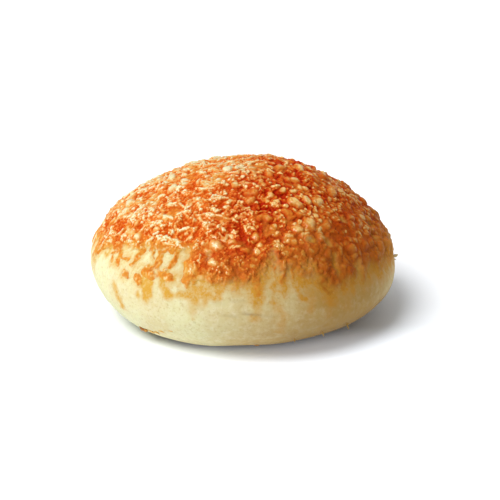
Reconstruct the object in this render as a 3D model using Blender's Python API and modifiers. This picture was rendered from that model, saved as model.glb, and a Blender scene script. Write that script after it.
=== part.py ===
"""Cheese bun: a round, soft, pale bun with a crust of melted and baked cheese over its top.

The model is in metres, with +Z up. The origin is the centre of the flat underside, the shown side
faces -Y, and the cheese comes lowest on the +X side. A place on the bun is given by its azimuth,
which is 0 at the shown side and grows towards +X, and by its rise along the outline: 90 degrees at
the very top, 0 at the belly, where the bun is widest, and -90 at the edge of the flat underside.
"""

from math import atan2, cos, exp, hypot, pi, radians, sin

import bmesh
import bpy
from mathutils import Vector, noise

# Outline of the dough.
BELLY_RADIUS = 0.0547
BELLY_HEIGHT = 0.0185
DOUGH_HEIGHT = 0.0526
BASE_RADIUS = 0.0300
TUCK_POWER = 1.1  # above 1, the side tucks in faster towards the base than an ellipse's
SHOULDER_SLOPE = 0.26  # share by which the shoulders lie lower than an ellipse's

# Unevenness of a hand-shaped bun.
LOBES = ((2, 0.007, 35.0), (3, 0.004, 30.0), (5, 0.003, 36.0))  # count, share, azimuth
SHOULDER_LIFT = 0.0027  # how much higher the -X shoulder is, and the +X one lower
LEAN = (0.0044, 0.0006)  # sideways shift of the top, in x and y
BASE_OVAL = (0.14, -50.0)  # share by which the base is an oval, and the azimuth of its long end

# The cheese crust.
CRUST_GAP = 0.0003  # between the dough and the solid of the crust
CRUST_THICKNESS = 0.0027  # at its thickest lumps
THIN_SHARE = 0.30  # of that thickness, along the lower edge
LUMP_LENGTH = 0.0085  # from one lump of melted cheese to the next
LUMP_SHARE = 0.30
EDGE_RISE = 24.0  # mean rise of the crust's lower edge
EDGE_SLANT = 12.0  # how much lower that edge is at +X, and higher at -X
EDGE_WAVES = ((4, 2.0, 20.0), (7, 1.5, 75.0), (11, 1.0, 40.0))  # count, rise, azimuth
DRIPS = (  # azimuth and rise of the tip, and half width, of each drip that shows
    (-64.0, 19.0, 6.5),
    (-44.0, 13.0, 4.5),
    (-30.0, 12.0, 6.5),
    (-14.0, 14.0, 5.0),
    (1.0, 6.0, 5.0),
    (17.0, 11.0, 7.5),
    (31.0, 8.0, 4.5),
    (47.0, 2.0, 6.5),
)
HIDDEN_DRIPS = 12  # drips round the back, evenly spread between these azimuths
HIDDEN_FROM, HIDDEN_TO = 66.0, 278.0
HIDDEN_LENGTHS = (6.0, 11.0, 8.0, 13.0, 7.0)  # below the edge, taken in turn
HIDDEN_WIDTHS = (8.0, 5.0, 6.5)  # half widths, taken in turn
DRIP_ROUNDING = 3.0  # power of a drip's outline: the higher, the blunter its tip
DRIP_REACH = 5  # power by which a drip's pull fades from the edge up into the crust

# Fineness of the solids.
DOUGH_SEGMENTS = 52
DOME_RINGS = 15
UNDERCUT_RINGS = 6
CRUST_CELLS = 42
MERGE_DISTANCE = 0.00001
SHARP_ANGLE = radians(50)


def outline(rise):
    """Distance from the axis and height of the turned outline at a rise, in degrees."""
    across, up = cos(radians(rise)), sin(radians(rise))
    if rise < 0:
        tuck = (BELLY_RADIUS - BASE_RADIUS) * max(across, 0.0) ** TUCK_POWER
        return BASE_RADIUS + tuck, BELLY_HEIGHT * (1 + up)
    dome = (DOUGH_HEIGHT - BELLY_HEIGHT) * up * (1 - SHOULDER_SLOPE * across**2)
    return BELLY_RADIUS * across, BELLY_HEIGHT + dome


def base_share(point):
    """How far a point shares in the base's oval: 1 on the flat, and 0 from the belly up."""
    if point.z >= BELLY_HEIGHT:
        return 0.0
    radius = max(hypot(point.x, point.y), BASE_RADIUS)
    return BASE_RADIUS / radius * (BELLY_RADIUS - radius) / (BELLY_RADIUS - BASE_RADIUS)


def hand_shaped(point):
    """Moves a point of the turned bun to its place on the uneven one, keeping the base flat."""
    azimuth = atan2(point.x, -point.y)
    swell = 1 + sum(share * cos(count * (azimuth - radians(at))) for count, share, at in LOBES)
    swell += BASE_OVAL[0] * cos(2 * (azimuth - radians(BASE_OVAL[1]))) * base_share(point)
    up = point.z / DOUGH_HEIGHT
    lean = up**2 - (BELLY_HEIGHT / DOUGH_HEIGHT) ** 2
    lift = -SHOULDER_LIFT * point.x / BELLY_RADIUS * sin(pi * up)
    x, y = point.x * swell + LEAN[0] * lean, point.y * swell + LEAN[1] * lean
    return Vector((x, y, point.z + lift))


def crust_edge(azimuth):
    """Rise of the crust's lower edge without its drips: a slanted ring with slow waves."""
    waves = sum(depth * cos(count * radians(azimuth - at)) for count, depth, at in EDGE_WAVES)
    return EDGE_RISE - EDGE_SLANT * sin(radians(azimuth)) + waves


def all_drips():
    """Azimuth, length below the crust's edge and half width of every drip, in degrees."""
    drips = [(at, crust_edge(at) - tip, width) for at, tip, width in DRIPS]
    for number in range(HIDDEN_DRIPS):
        at = HIDDEN_FROM + (HIDDEN_TO - HIDDEN_FROM) * number / (HIDDEN_DRIPS - 1)
        length = HIDDEN_LENGTHS[number % len(HIDDEN_LENGTHS)]
        drips.append((at, length, HIDDEN_WIDTHS[number % len(HIDDEN_WIDTHS)]))
    return drips


def drip_drop(azimuth):
    """How far the drips hang below the crust's edge at an azimuth, in degrees of rise."""
    drop = 0.0
    for at, length, width in all_drips():
        away = abs((azimuth - at + 180) % 360 - 180)
        drop = max(drop, length * exp(-((away / width) ** DRIP_ROUNDING)))
    return drop


def rounded_off(x, y):
    """Azimuth and distance from the middle, both for a square of half width 1 made a disc.

    Each square ring becomes a circle of the same half width, with its points evenly spread.
    """
    reach = max(abs(x), abs(y))
    if reach == 0:
        return 0.0, 0.0
    if abs(x) >= abs(y):
        turn = pi / 4 * y / x + (0 if x > 0 else pi)
    else:
        turn = pi / 2 - pi / 4 * x / y + (0 if y > 0 else pi)
    return (turn * 180 / pi + 90) % 360, reach


def draped(x, y):
    """Lays a point of a flat square on the bun, the square's border on the crust's lower edge."""
    azimuth, reach = rounded_off(x, y)
    rise = 90 - reach * (90 - crust_edge(azimuth)) - drip_drop(azimuth) * reach**DRIP_REACH
    radius, height = outline(rise)
    angle = radians(azimuth)
    return hand_shaped(Vector((radius * sin(angle), -radius * cos(angle), height)))


def crust_fullness(point, reach):
    """Share of the full thickness: lumpy all over, and thinner towards the lower edge."""
    lump = 1 - LUMP_SHARE + LUMP_SHARE * 2 * noise.noise(point / LUMP_LENGTH)
    thinning = THIN_SHARE + (1 - THIN_SHARE) * (1 - reach**4)
    return min(1.0, max(THIN_SHARE, lump * thinning))


def plain_material(name, colour, roughness):
    """A Principled material of one colour, not metallic."""
    material = bpy.data.materials.new(name)
    material.use_nodes = True
    shader = material.node_tree.nodes["Principled BSDF"]
    shader.inputs["Base Color"].default_value = colour
    shader.inputs["Roughness"].default_value = roughness
    shader.inputs["Metallic"].default_value = 0.0
    return material


def dough_material():
    """Soft, matt, cream-coloured dough."""
    return plain_material("pale_dough", (0.86, 0.74, 0.42, 1), 0.75)


def cheese_material():
    """Oily cheese, baked to a deep orange."""
    return plain_material("baked_cheese", (0.80, 0.26, 0.04, 1), 0.42)


def realised(bun_piece):
    """Turns an object's modifiers into plain mesh, so that its points can be moved."""
    bpy.context.view_layer.update()
    evaluated = bun_piece.evaluated_get(bpy.context.evaluated_depsgraph_get())
    mesh = bpy.data.meshes.new_from_object(evaluated)
    bun_piece.modifiers.clear()
    bun_piece.data = mesh
    return bun_piece


def finish(bun_piece, material):
    """Gives a piece its material and smooth shading."""
    bun_piece.data.materials.clear()
    bun_piece.data.materials.append(material)
    bun_piece.data.shade_smooth()
    bun_piece.data.set_sharp_from_angle(angle=SHARP_ANGLE)


def make_dough(collection):
    """The bun itself: the outline turned about Z, closed by a flat base, then made uneven."""
    rises = [90 - 90 * ring / DOME_RINGS for ring in range(1, DOME_RINGS)]
    rises += [-90 * ring / UNDERCUT_RINGS for ring in range(UNDERCUT_RINGS + 1)]
    profile = [(0, DOUGH_HEIGHT)] + [outline(rise) for rise in rises] + [(0, 0)]
    mesh = bpy.data.meshes.new("dough_bun")
    points = [(radius, 0, height) for radius, height in profile]
    mesh.from_pydata(points, [(i, i + 1) for i in range(len(points) - 1)], [])
    dough = bpy.data.objects.new("dough_bun", mesh)
    collection.objects.link(dough)
    turn = dough.modifiers.new("turn", "SCREW")
    turn.steps = turn.render_steps = DOUGH_SEGMENTS
    turn.use_merge_vertices = True
    turn.merge_threshold = MERGE_DISTANCE
    realised(dough)
    for vertex in dough.data.vertices:
        vertex.co = hand_shaped(vertex.co)
    finish(dough, dough_material())
    return dough


def make_crust(collection):
    """The cheese: a square grid draped over the dough down to its drips, then made solid."""
    flat = bmesh.new()
    bmesh.ops.create_grid(flat, x_segments=CRUST_CELLS, y_segments=CRUST_CELLS, size=1)
    mesh = bpy.data.meshes.new("cheese_crust")
    flat.to_mesh(mesh)
    flat.free()
    crust = bpy.data.objects.new("cheese_crust", mesh)
    collection.objects.link(crust)
    fullness = crust.vertex_groups.new(name="fullness")
    for vertex in crust.data.vertices:
        flat_x, flat_y = vertex.co.x, vertex.co.y
        vertex.co = draped(flat_x, flat_y)
        reach = max(abs(flat_x), abs(flat_y))
        fullness.add([vertex.index], crust_fullness(vertex.co, reach), "REPLACE")
    lift = crust.modifiers.new("gap", "DISPLACE")
    lift.mid_level = 0
    lift.strength = CRUST_GAP
    solid = crust.modifiers.new("thickness", "SOLIDIFY")
    solid.thickness = CRUST_THICKNESS
    solid.offset = 1
    solid.vertex_group = fullness.name
    solid.thickness_vertex_group = 0
    finish(crust, cheese_material())
    return crust


def main():
    """Clears the scene and builds the bun in a collection of its own."""
    for left_over in list(bpy.data.objects):
        bpy.data.objects.remove(left_over, do_unlink=True)
    bun = bpy.data.collections.new("cheese_bun")
    bpy.context.scene.collection.children.link(bun)
    make_dough(bun)
    make_crust(bun)


main()
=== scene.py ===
"""The looks of a cheese bun: pale dough under a crust of grated cheese, melted and baked.

Everything is in metres, in the frame of the solids: the origin is the middle of the flat
underside, +Z is up and the shown side faces -Y. A place on the bun is an azimuth in degrees, 0 at
the shown side and growing towards +X, and a rise in degrees, 90 at the very top, 0 at the belly
and -90 at the edge of the underside.
"""

import logging
import math
from dataclasses import dataclass, field, replace
from enum import Enum

import bpy
import numpy as np
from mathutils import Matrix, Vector


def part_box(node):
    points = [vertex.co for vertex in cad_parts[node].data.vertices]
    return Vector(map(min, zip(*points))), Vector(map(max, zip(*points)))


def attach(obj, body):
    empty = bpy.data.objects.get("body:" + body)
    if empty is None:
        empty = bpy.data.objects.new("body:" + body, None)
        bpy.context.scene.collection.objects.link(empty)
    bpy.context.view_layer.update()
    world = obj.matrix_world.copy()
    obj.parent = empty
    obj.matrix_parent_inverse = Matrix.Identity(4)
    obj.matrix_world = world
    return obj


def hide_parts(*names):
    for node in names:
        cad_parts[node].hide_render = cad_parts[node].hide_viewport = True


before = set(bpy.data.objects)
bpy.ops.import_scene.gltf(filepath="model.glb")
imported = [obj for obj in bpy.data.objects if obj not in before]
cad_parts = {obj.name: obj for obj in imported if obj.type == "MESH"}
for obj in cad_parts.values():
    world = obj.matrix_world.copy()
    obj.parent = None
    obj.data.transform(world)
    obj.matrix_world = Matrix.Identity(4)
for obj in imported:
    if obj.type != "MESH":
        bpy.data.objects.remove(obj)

MM = 0.001
BODY = "root"
Array = np.ndarray
Colour = tuple[float, float, float, float]

log = logging.getLogger("cheese_bun")


def ease(values: Array, low: float, high: float) -> Array:
    """Rises smoothly from 0 at low to 1 at high, as 3t^2 - 2t^3 of the clamped share t.

    Args:
        values: numbers of any shape.
        low: where the result is 0.
        high: where the result is 1.

    Returns:
        The eased share for each value.
    """
    share = np.clip((values - low) / (high - low), 0.0, 1.0)
    return share * share * (3.0 - 2.0 * share)


def around(azimuth: Array, at: float) -> Array:
    """The turn from one azimuth to others, in degrees, from -180 to 180."""
    return (azimuth - at + 180.0) % 360.0 - 180.0


def length_of(vectors: Array) -> Array:
    """The length of each vector along the last axis, with that axis kept."""
    return np.linalg.norm(vectors, axis=-1, keepdims=True)


# ---------- Unevenness ----------


AXIS_PRIMES = (0x9E3779B97F4A7C15, 0xC2B2AE3D27D4EB4F, 0x165667B19E3779F9)
SEED_PRIME, SALT_PRIME, START_PRIME = 7919, 104729, 0x27D4EB2F165667C5
MIXING_PRIME, MIXING_SHIFTS = 0xBF58476D1CE4E5B9, (31, 29)
WORD_BITS, FLOAT_BITS = 64, 53
PLACE_SALTS, RADIUS_SALT, NUMBER_SALT = (1, 2, 3), 4, 5
LEAST_CURD, CURD_RANGE = 0.4, 0.4  # radius of a curd, in cells
OCTAVE_SHIFT = 17.3  # in swells, so that no octave lies on the last


@dataclass(frozen=True)
class Unevenness:
    """Seeded noise in space, worked out for whole arrays of points.

    A constant added to the points gives another noise of the same kind.
    """

    seed: int

    def _draw(self, cells: Array, salt: int = 0) -> Array:
        """A number from 0 to 1 for each cell: its coordinates times primes, mixed bitwise.

        Args:
            cells: whole coordinates, with x, y and z along the last axis.
            salt: which of a cell's numbers is wanted.

        Returns:
            One number for each cell.
        """
        whole = cells.astype(np.int64).view(np.uint64)
        start = (self.seed * SEED_PRIME + salt * SALT_PRIME + 1) * START_PRIME
        mixed = np.full(whole.shape[:-1], start % 2**WORD_BITS, np.uint64)
        for axis, prime in enumerate(AXIS_PRIMES):
            mixed ^= whole[..., axis] * np.uint64(prime)
        for shift in MIXING_SHIFTS:
            mixed ^= mixed >> np.uint64(shift)
            mixed *= np.uint64(MIXING_PRIME)
        return (mixed >> np.uint64(WORD_BITS - FLOAT_BITS)).astype(np.float64) / 2.0**FLOAT_BITS

    def smooth(self, points: Array, size: float) -> Array:
        """Soft swells: the eight corners of each point's cell, blended by 6t^5 - 15t^4 + 10t^3.

        Args:
            points: places, with x, y and z along the last axis.
            size: the width of a swell.

        Returns:
            A number from -1 to 1 for each point.
        """
        scaled = points / size
        cell = np.floor(scaled)
        share = scaled - cell
        share = share**3 * (share * (share * 6.0 - 15.0) + 10.0)
        total = np.zeros(points.shape[:-1])
        for corner in np.ndindex(2, 2, 2):
            weight = np.prod(np.where(corner, share, 1.0 - share), axis=-1)
            total += weight * self._draw(cell + np.array(corner))
        return 2.0 * total - 1.0

    def rough(self, points: Array, size: float, octaves: int = 3) -> Array:
        """Swells with ever finer ones on them, each half the width and height of the last.

        Args:
            points: places, with x, y and z along the last axis.
            size: the width of the broadest swells.
            octaves: how many widths of swell there are.

        Returns:
            A number from -1 to 1 for each point.
        """
        total = np.zeros(points.shape[:-1])
        for octave in range(octaves):
            shifted = points + size * OCTAVE_SHIFT * octave
            total += self.smooth(shifted, size / 2**octave) / 2**octave
        return total / (2.0 - 0.5 ** (octaves - 1))

    def drift(self, points: Array, size: float) -> Array:
        """A smooth vector from -1 to 1 on each axis: three swells far apart in the same noise."""
        shifts = ((0.0, 0.0, 0.0), (7.1, 3.3, 1.9), (2.7, 9.5, 5.3))
        return np.stack([self.smooth(points + size * np.array(s), size) for s in shifts], axis=-1)

    def curds(self, points: Array, size: float, share: float = 1.0) -> tuple[Array, Array]:
        """Round lumps scattered one to a cell, where the highest that covers a point counts.

        A lump is a half ball whose radius is 0.4 to 0.8 of the cell: its height over a point at
        distance d from its middle is sqrt(1 - (d / radius)^2) times the radius.

        Args:
            points: places, with x, y and z along the last axis.
            size: the width of a cell.
            share: the share of the cells that hold a lump.

        Returns:
            The height in units of size, and the random number of the lump that stands there.
        """
        scaled = points / size
        cell = np.floor(scaled)
        highest = np.zeros(points.shape[:-1])
        number = np.zeros(points.shape[:-1])
        for step in np.ndindex(3, 3, 3):
            there = cell + np.array(step) - 1.0
            jitter = np.stack([self._draw(there, salt) for salt in PLACE_SALTS], axis=-1)
            away = ((there + jitter - scaled) ** 2).sum(axis=-1)
            radius = LEAST_CURD + CURD_RANGE * self._draw(there, RADIUS_SALT)
            height = np.sqrt(np.clip(radius**2 - away, 0.0, None))
            mark = self._draw(there, NUMBER_SALT)
            higher = (height > highest) & (mark < share)
            highest = np.where(higher, height, highest)
            number = np.where(higher, mark / share, number)
        return highest, number


# ---------- The bun's own form ----------


BELLY_SHARE = 0.352  # of the dough's height
BASE_SHARE = 0.5485  # of its radius at the belly
OUTLINE_RISES = np.linspace(90.0, -90.0, 721)  # where the outline is measured
LOBES = ((2, 0.007, 35.0), (3, 0.004, 30.0), (5, 0.003, 36.0))  # count, share and azimuth


@dataclass(frozen=True)
class BunForm:
    """The dough's form, with the same outline and unevenness as the solid that it stands for."""

    belly_radius: float
    height: float
    belly_height: float
    base_radius: float
    shoulder_slope: float = 0.26
    shoulder_lift: float = 2.7 * MM
    lean: tuple[float, float] = (4.4 * MM, 0.6 * MM)
    tuck_power: float = 1.1
    base_oval: tuple[float, float] = (0.14, -50.0)

    @classmethod
    def of_node(cls, node: str) -> "BunForm":
        """The form whose sizes follow from the box of a node of the frame.

        Args:
            node: the node's name.

        Returns:
            The form.
        """
        low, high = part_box(node)
        radius = (high.x - low.x + high.y - low.y) / 4.0
        tall = high.z - low.z
        return cls(radius, tall, BELLY_SHARE * tall, BASE_SHARE * radius)

    def outline(self, rise: Array) -> tuple[Array, Array]:
        """Distance from the axis and height at a rise.

        Below the belly it is nearly a quarter ellipse, with a power of its cosine that tucks it
        in, and above it one whose shoulders are lowered with the squared cosine of the rise.

        Args:
            rise: rises in degrees.

        Returns:
            Both lengths for each rise.
        """
        across, up = np.clip(np.cos(np.radians(rise)), 0.0, 1.0), np.sin(np.radians(rise))
        over = rise >= 0
        tuck = self.base_radius + (self.belly_radius - self.base_radius) * across**self.tuck_power
        radius = np.where(over, self.belly_radius * across, tuck)
        dome = (self.height - self.belly_height) * up * (1.0 - self.shoulder_slope * across**2)
        return radius, self.belly_height + np.where(over, dome, self.belly_height * up)

    def shaped(self, azimuth: Array, radius: Array, height: Array) -> Array:
        """The turned bun made uneven: swollen in lobes, leaning, with one shoulder lifted.

        Below the belly the swelling also turns, by degrees, into an oval, which the base has.

        Args:
            azimuth: azimuths in degrees.
            radius: distances from the axis.
            height: heights above the underside.

        Returns:
            The points, with x, y and z along the last axis.
        """
        angle = np.radians(azimuth)
        x, y = radius * np.sin(angle), -radius * np.cos(angle)
        lobes = (share * np.cos(count * np.radians(azimuth - at)) for count, share, at in LOBES)
        swell = 1.0 + sum(lobes)
        held = np.maximum(radius, self.base_radius)
        tucked = (self.belly_radius - held) / (self.belly_radius - self.base_radius)
        low = np.where(height < self.belly_height, tucked * self.base_radius / held, 0.0)
        oval, at = self.base_oval
        swell = swell + oval * np.cos(2.0 * np.radians(azimuth - at)) * low
        up = height / self.height
        lean = up**2 - (self.belly_height / self.height) ** 2
        lift = -self.shoulder_lift * x / self.belly_radius * np.sin(np.pi * up)
        spread = (x * swell + self.lean[0] * lean, y * swell + self.lean[1] * lean, height + lift)
        return np.stack(spread, axis=-1)

    def surface(self, azimuth: Array, rise: Array) -> Array:
        """The point of the surface at each azimuth and rise."""
        radius, height = self.outline(rise)
        return self.shaped(azimuth, radius, height)

    def outward(self, azimuth: Array, rise: Array) -> Array:
        """The unit outward normal: the cross product of the surface's two small differences.

        It is taken half a degree short of the very top and of the base's edge.

        Args:
            azimuth: azimuths in degrees.
            rise: rises in degrees.

        Returns:
            A unit vector for each place.
        """
        step, highest = 0.05, 89.5
        level = np.clip(rise, -highest, highest)
        turning = self.surface(azimuth + step, level) - self.surface(azimuth - step, level)
        rising = self.surface(azimuth, level + step) - self.surface(azimuth, level - step)
        normal = np.cross(turning, rising)
        return normal / length_of(normal)

    def depth(self, rise: Array) -> Array:
        """How far along the outline a rise lies below the very top: the outline's arc length.

        Args:
            rise: rises in degrees.

        Returns:
            The length from the very top to each rise.
        """
        radius, height = self.outline(OUTLINE_RISES)
        steps = np.hypot(np.diff(radius), np.diff(height))
        travelled = np.concatenate([[0.0], np.cumsum(steps)])
        return np.interp(-rise, -OUTLINE_RISES, travelled)

    def rise_at(self, depth: Array) -> Array:
        """The rise that lies a given way along the outline below the very top."""
        return np.interp(depth, self.depth(OUTLINE_RISES), OUTLINE_RISES)


# ---------- Meshes ----------


def grid_faces(rows: int, columns: int, closed: bool) -> Array:
    """The four-sided faces of a grid of points numbered row by row.

    Args:
        rows: the number of rows of points.
        columns: the number of points in a row.
        closed: whether the last column joins the first.

    Returns:
        One row of four point numbers for each face.
    """
    numbers = np.arange(rows * columns).reshape(rows, columns)
    if closed:
        numbers = np.concatenate([numbers, numbers[:, :1]], axis=1)
    corners = (numbers[:-1, :-1], numbers[1:, :-1], numbers[1:, 1:], numbers[:-1, 1:])
    return np.stack([corner.ravel() for corner in corners], axis=-1)


def fan_faces(loop: Array, tip: int) -> Array:
    """Triangles from each side of a closed loop of points to one tip."""
    return np.stack([loop, np.roll(loop, -1), np.full(len(loop), tip)], axis=-1)


def make_piece(
    name: str,
    points: Array,
    faces: list[Array],
    measures: dict[str, Array],
    material: bpy.types.Material,
    normals: Array | None = None,
) -> bpy.types.Object:
    """Puts arrays into a mesh object with smooth shading.

    Args:
        name: the piece's name.
        points: one place a row.
        faces: arrays of point numbers, one face a row, each array with its own face size.
        measures: what the material reads on each point, by name.
        material: the piece's finish.
        normals: shading normals of the points, where they don't follow from the faces.

    Returns:
        The new object, at the origin.
    """
    mesh = bpy.data.meshes.new(name)
    mesh.vertices.add(len(points))
    mesh.vertices.foreach_set("co", np.ascontiguousarray(points, dtype=np.float32).ravel())
    sides = np.concatenate([np.full(len(part), part.shape[1]) for part in faces])
    corners = np.concatenate([part.ravel() for part in faces])
    mesh.loops.add(len(corners))
    mesh.loops.foreach_set("vertex_index", corners.astype(np.int32))
    mesh.polygons.add(len(sides))
    starts = np.concatenate([[0], np.cumsum(sides)[:-1]])
    mesh.polygons.foreach_set("loop_start", starts.astype(np.int32))
    mesh.update(calc_edges=True)
    mesh.shade_smooth()
    for measure, values in measures.items():
        layer = mesh.attributes.new(measure, "FLOAT", "POINT")
        layer.data.foreach_set("value", np.ascontiguousarray(values, dtype=np.float32).ravel())
    if normals is not None:
        mesh.normals_split_custom_set_from_vertices(normals.reshape(-1, 3))
    mesh.materials.append(material)
    piece = bpy.data.objects.new(name, mesh)
    bpy.context.scene.collection.objects.link(piece)
    return piece


# ---------- Shader nodes ----------


class Wire:
    """A node's output that adds Math nodes when it is used in an expression."""

    def __init__(self, bench: "Bench", socket: bpy.types.NodeSocket) -> None:
        """Wraps one output socket of a bench's node tree."""
        self.bench = bench
        self.socket = socket

    def _math(self, operation: str, first: "Wire | float", second: "Wire | float") -> "Wire":
        """A Math node of two values."""
        return self.bench.node("ShaderNodeMath", {"operation": operation}, {0: first, 1: second})

    def __add__(self, other: "Wire | float") -> "Wire":
        """The sum."""
        return self._math("ADD", self, other)

    __radd__ = __add__

    def __mul__(self, other: "Wire | float") -> "Wire":
        """The product."""
        return self._math("MULTIPLY", self, other)

    __rmul__ = __mul__

    def __sub__(self, other: "Wire | float") -> "Wire":
        """The difference."""
        return self._math("SUBTRACT", self, other)

    def __rsub__(self, other: "Wire | float") -> "Wire":
        """The difference the other way round."""
        return self._math("SUBTRACT", other, self)

    def at_most(self, ceiling: "Wire | float") -> "Wire":
        """The smaller of the two."""
        return self._math("MINIMUM", self, ceiling)

    def eased(self, low: float, high: float) -> "Wire":
        """Rises smoothly from 0 at low to 1 at high."""
        settings = {"interpolation_type": "SMOOTHSTEP"}
        return self.bench.node("ShaderNodeMapRange", settings, {0: self, 1: low, 2: high})


class Bench:
    """A node tree, with one way to add a node."""

    def __init__(self, tree: bpy.types.NodeTree) -> None:
        """Takes the tree that the nodes go into."""
        self.tree = tree

    def put(self, socket: bpy.types.NodeSocket, value: "Wire | float | Colour") -> None:
        """Links a wire to a socket, or sets the socket's own value.

        Args:
            socket: the input socket.
            value: what it gets.
        """
        if isinstance(value, Wire):
            self.tree.links.new(value.socket, socket)
        else:
            socket.default_value = value

    def node(
        self,
        kind: str,
        settings: dict[str, object] | None = None,
        sockets: dict[str | int, object] | None = None,
        output: str | int = 0,
    ) -> Wire:
        """Adds a node.

        Args:
            kind: the node's type.
            settings: its own settings, set first.
            sockets: the value or wire of each input socket, by name or number.
            output: which output is wanted.

        Returns:
            The wire of that output.
        """
        made = self.tree.nodes.new(kind)
        for name, value in (settings or {}).items():
            setattr(made, name, value)
        for name, value in (sockets or {}).items():
            self.put(made.inputs[name], value)
        return Wire(self, made.outputs[output])

    def place(self) -> Wire:
        """The shaded point in the bun's own frame, in metres."""
        return self.node("ShaderNodeTexCoord", output="Object")

    def along(self, vector: Wire, direction: tuple[float, float, float]) -> Wire:
        """How far a vector reaches in a direction: their dot product."""
        sockets = {0: vector, 1: direction}
        return self.node("ShaderNodeVectorMath", {"operation": "DOT_PRODUCT"}, sockets, "Value")

    def measure(self, name: str) -> Wire:
        """A number that the mesh holds on each of its points."""
        return self.node("ShaderNodeAttribute", {"attribute_name": name}, output="Fac")

    def blend(self, share: Wire, first: "Wire | Colour", second: "Wire | Colour") -> Wire:
        """The first colour where the share is 0 and the second where it is 1."""
        settings = {"data_type": "RGBA", "clamp_factor": True}
        return self.node("ShaderNodeMix", settings, {0: share, 6: first, 7: second}, output=2)

    def specks(self, size: float, detail: float = 3.0, roughness: float = 0.5) -> Wire:
        """Cloudy noise from 0 to 1, with swells of a given width."""
        sockets = {"Vector": self.place(), "Scale": 1.0 / size, "Detail": detail}
        return self.node("ShaderNodeTexNoise", None, {**sockets, "Roughness": roughness})

    def froth(self, size: float, smoothness: float = 0.0) -> Wire:
        """The distance to the nearest of many scattered points, in units of their spacing.

        Args:
            size: the spacing of the points.
            smoothness: how softly one point's cell passes into the next.

        Returns:
            The wire of the distance.
        """
        settings = {"feature": "SMOOTH_F1" if smoothness else "F1"}
        sockets = {"Vector": self.place(), "Scale": 1.0 / size}
        if smoothness:
            sockets["Smoothness"] = smoothness
        return self.node("ShaderNodeTexVoronoi", settings, sockets, output="Distance")


class FinishBench(Bench):
    """The node tree of a new material, round the Principled shader that it starts with."""

    def __init__(self, name: str) -> None:
        """Makes the material.

        Args:
            name: the material's name.
        """
        self.material = bpy.data.materials.new(name)
        self.material.use_nodes = True
        super().__init__(self.material.node_tree)
        self.shader = self.tree.nodes["Principled BSDF"]

    def set(self, socket: str, value: "Wire | float | Colour") -> None:
        """Links a wire to one of the shader's sockets, or sets its value."""
        self.put(self.shader.inputs[socket], value)

    def finish(self, colour: Wire, roughness: Wire, height: Wire, depth: float) -> None:
        """Wires up the shader: its colour, its roughness and a bump of a real depth.

        Args:
            colour: the base colour.
            roughness: the roughness.
            height: the height of the bump.
            depth: how deep a height of 1 is.
        """
        self.set("Base Color", colour)
        self.set("Roughness", roughness)
        sockets = {"Strength": 1.0, "Distance": depth, "Height": height}
        self.set("Normal", self.node("ShaderNodeBump", None, sockets))


@dataclass(frozen=True)
class Translucency:
    """How light soaks into a finish: how much of it, and how far for each colour."""

    weight: float
    scale: float
    spread: tuple[float, float, float]

    def give(self, bench: FinishBench) -> None:
        """Sets the shader's own subsurface sockets.

        Args:
            bench: the finish that gets it.
        """
        bench.set("Subsurface Weight", self.weight)
        bench.set("Subsurface Scale", self.scale)
        bench.set("Subsurface Radius", self.spread)


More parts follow.
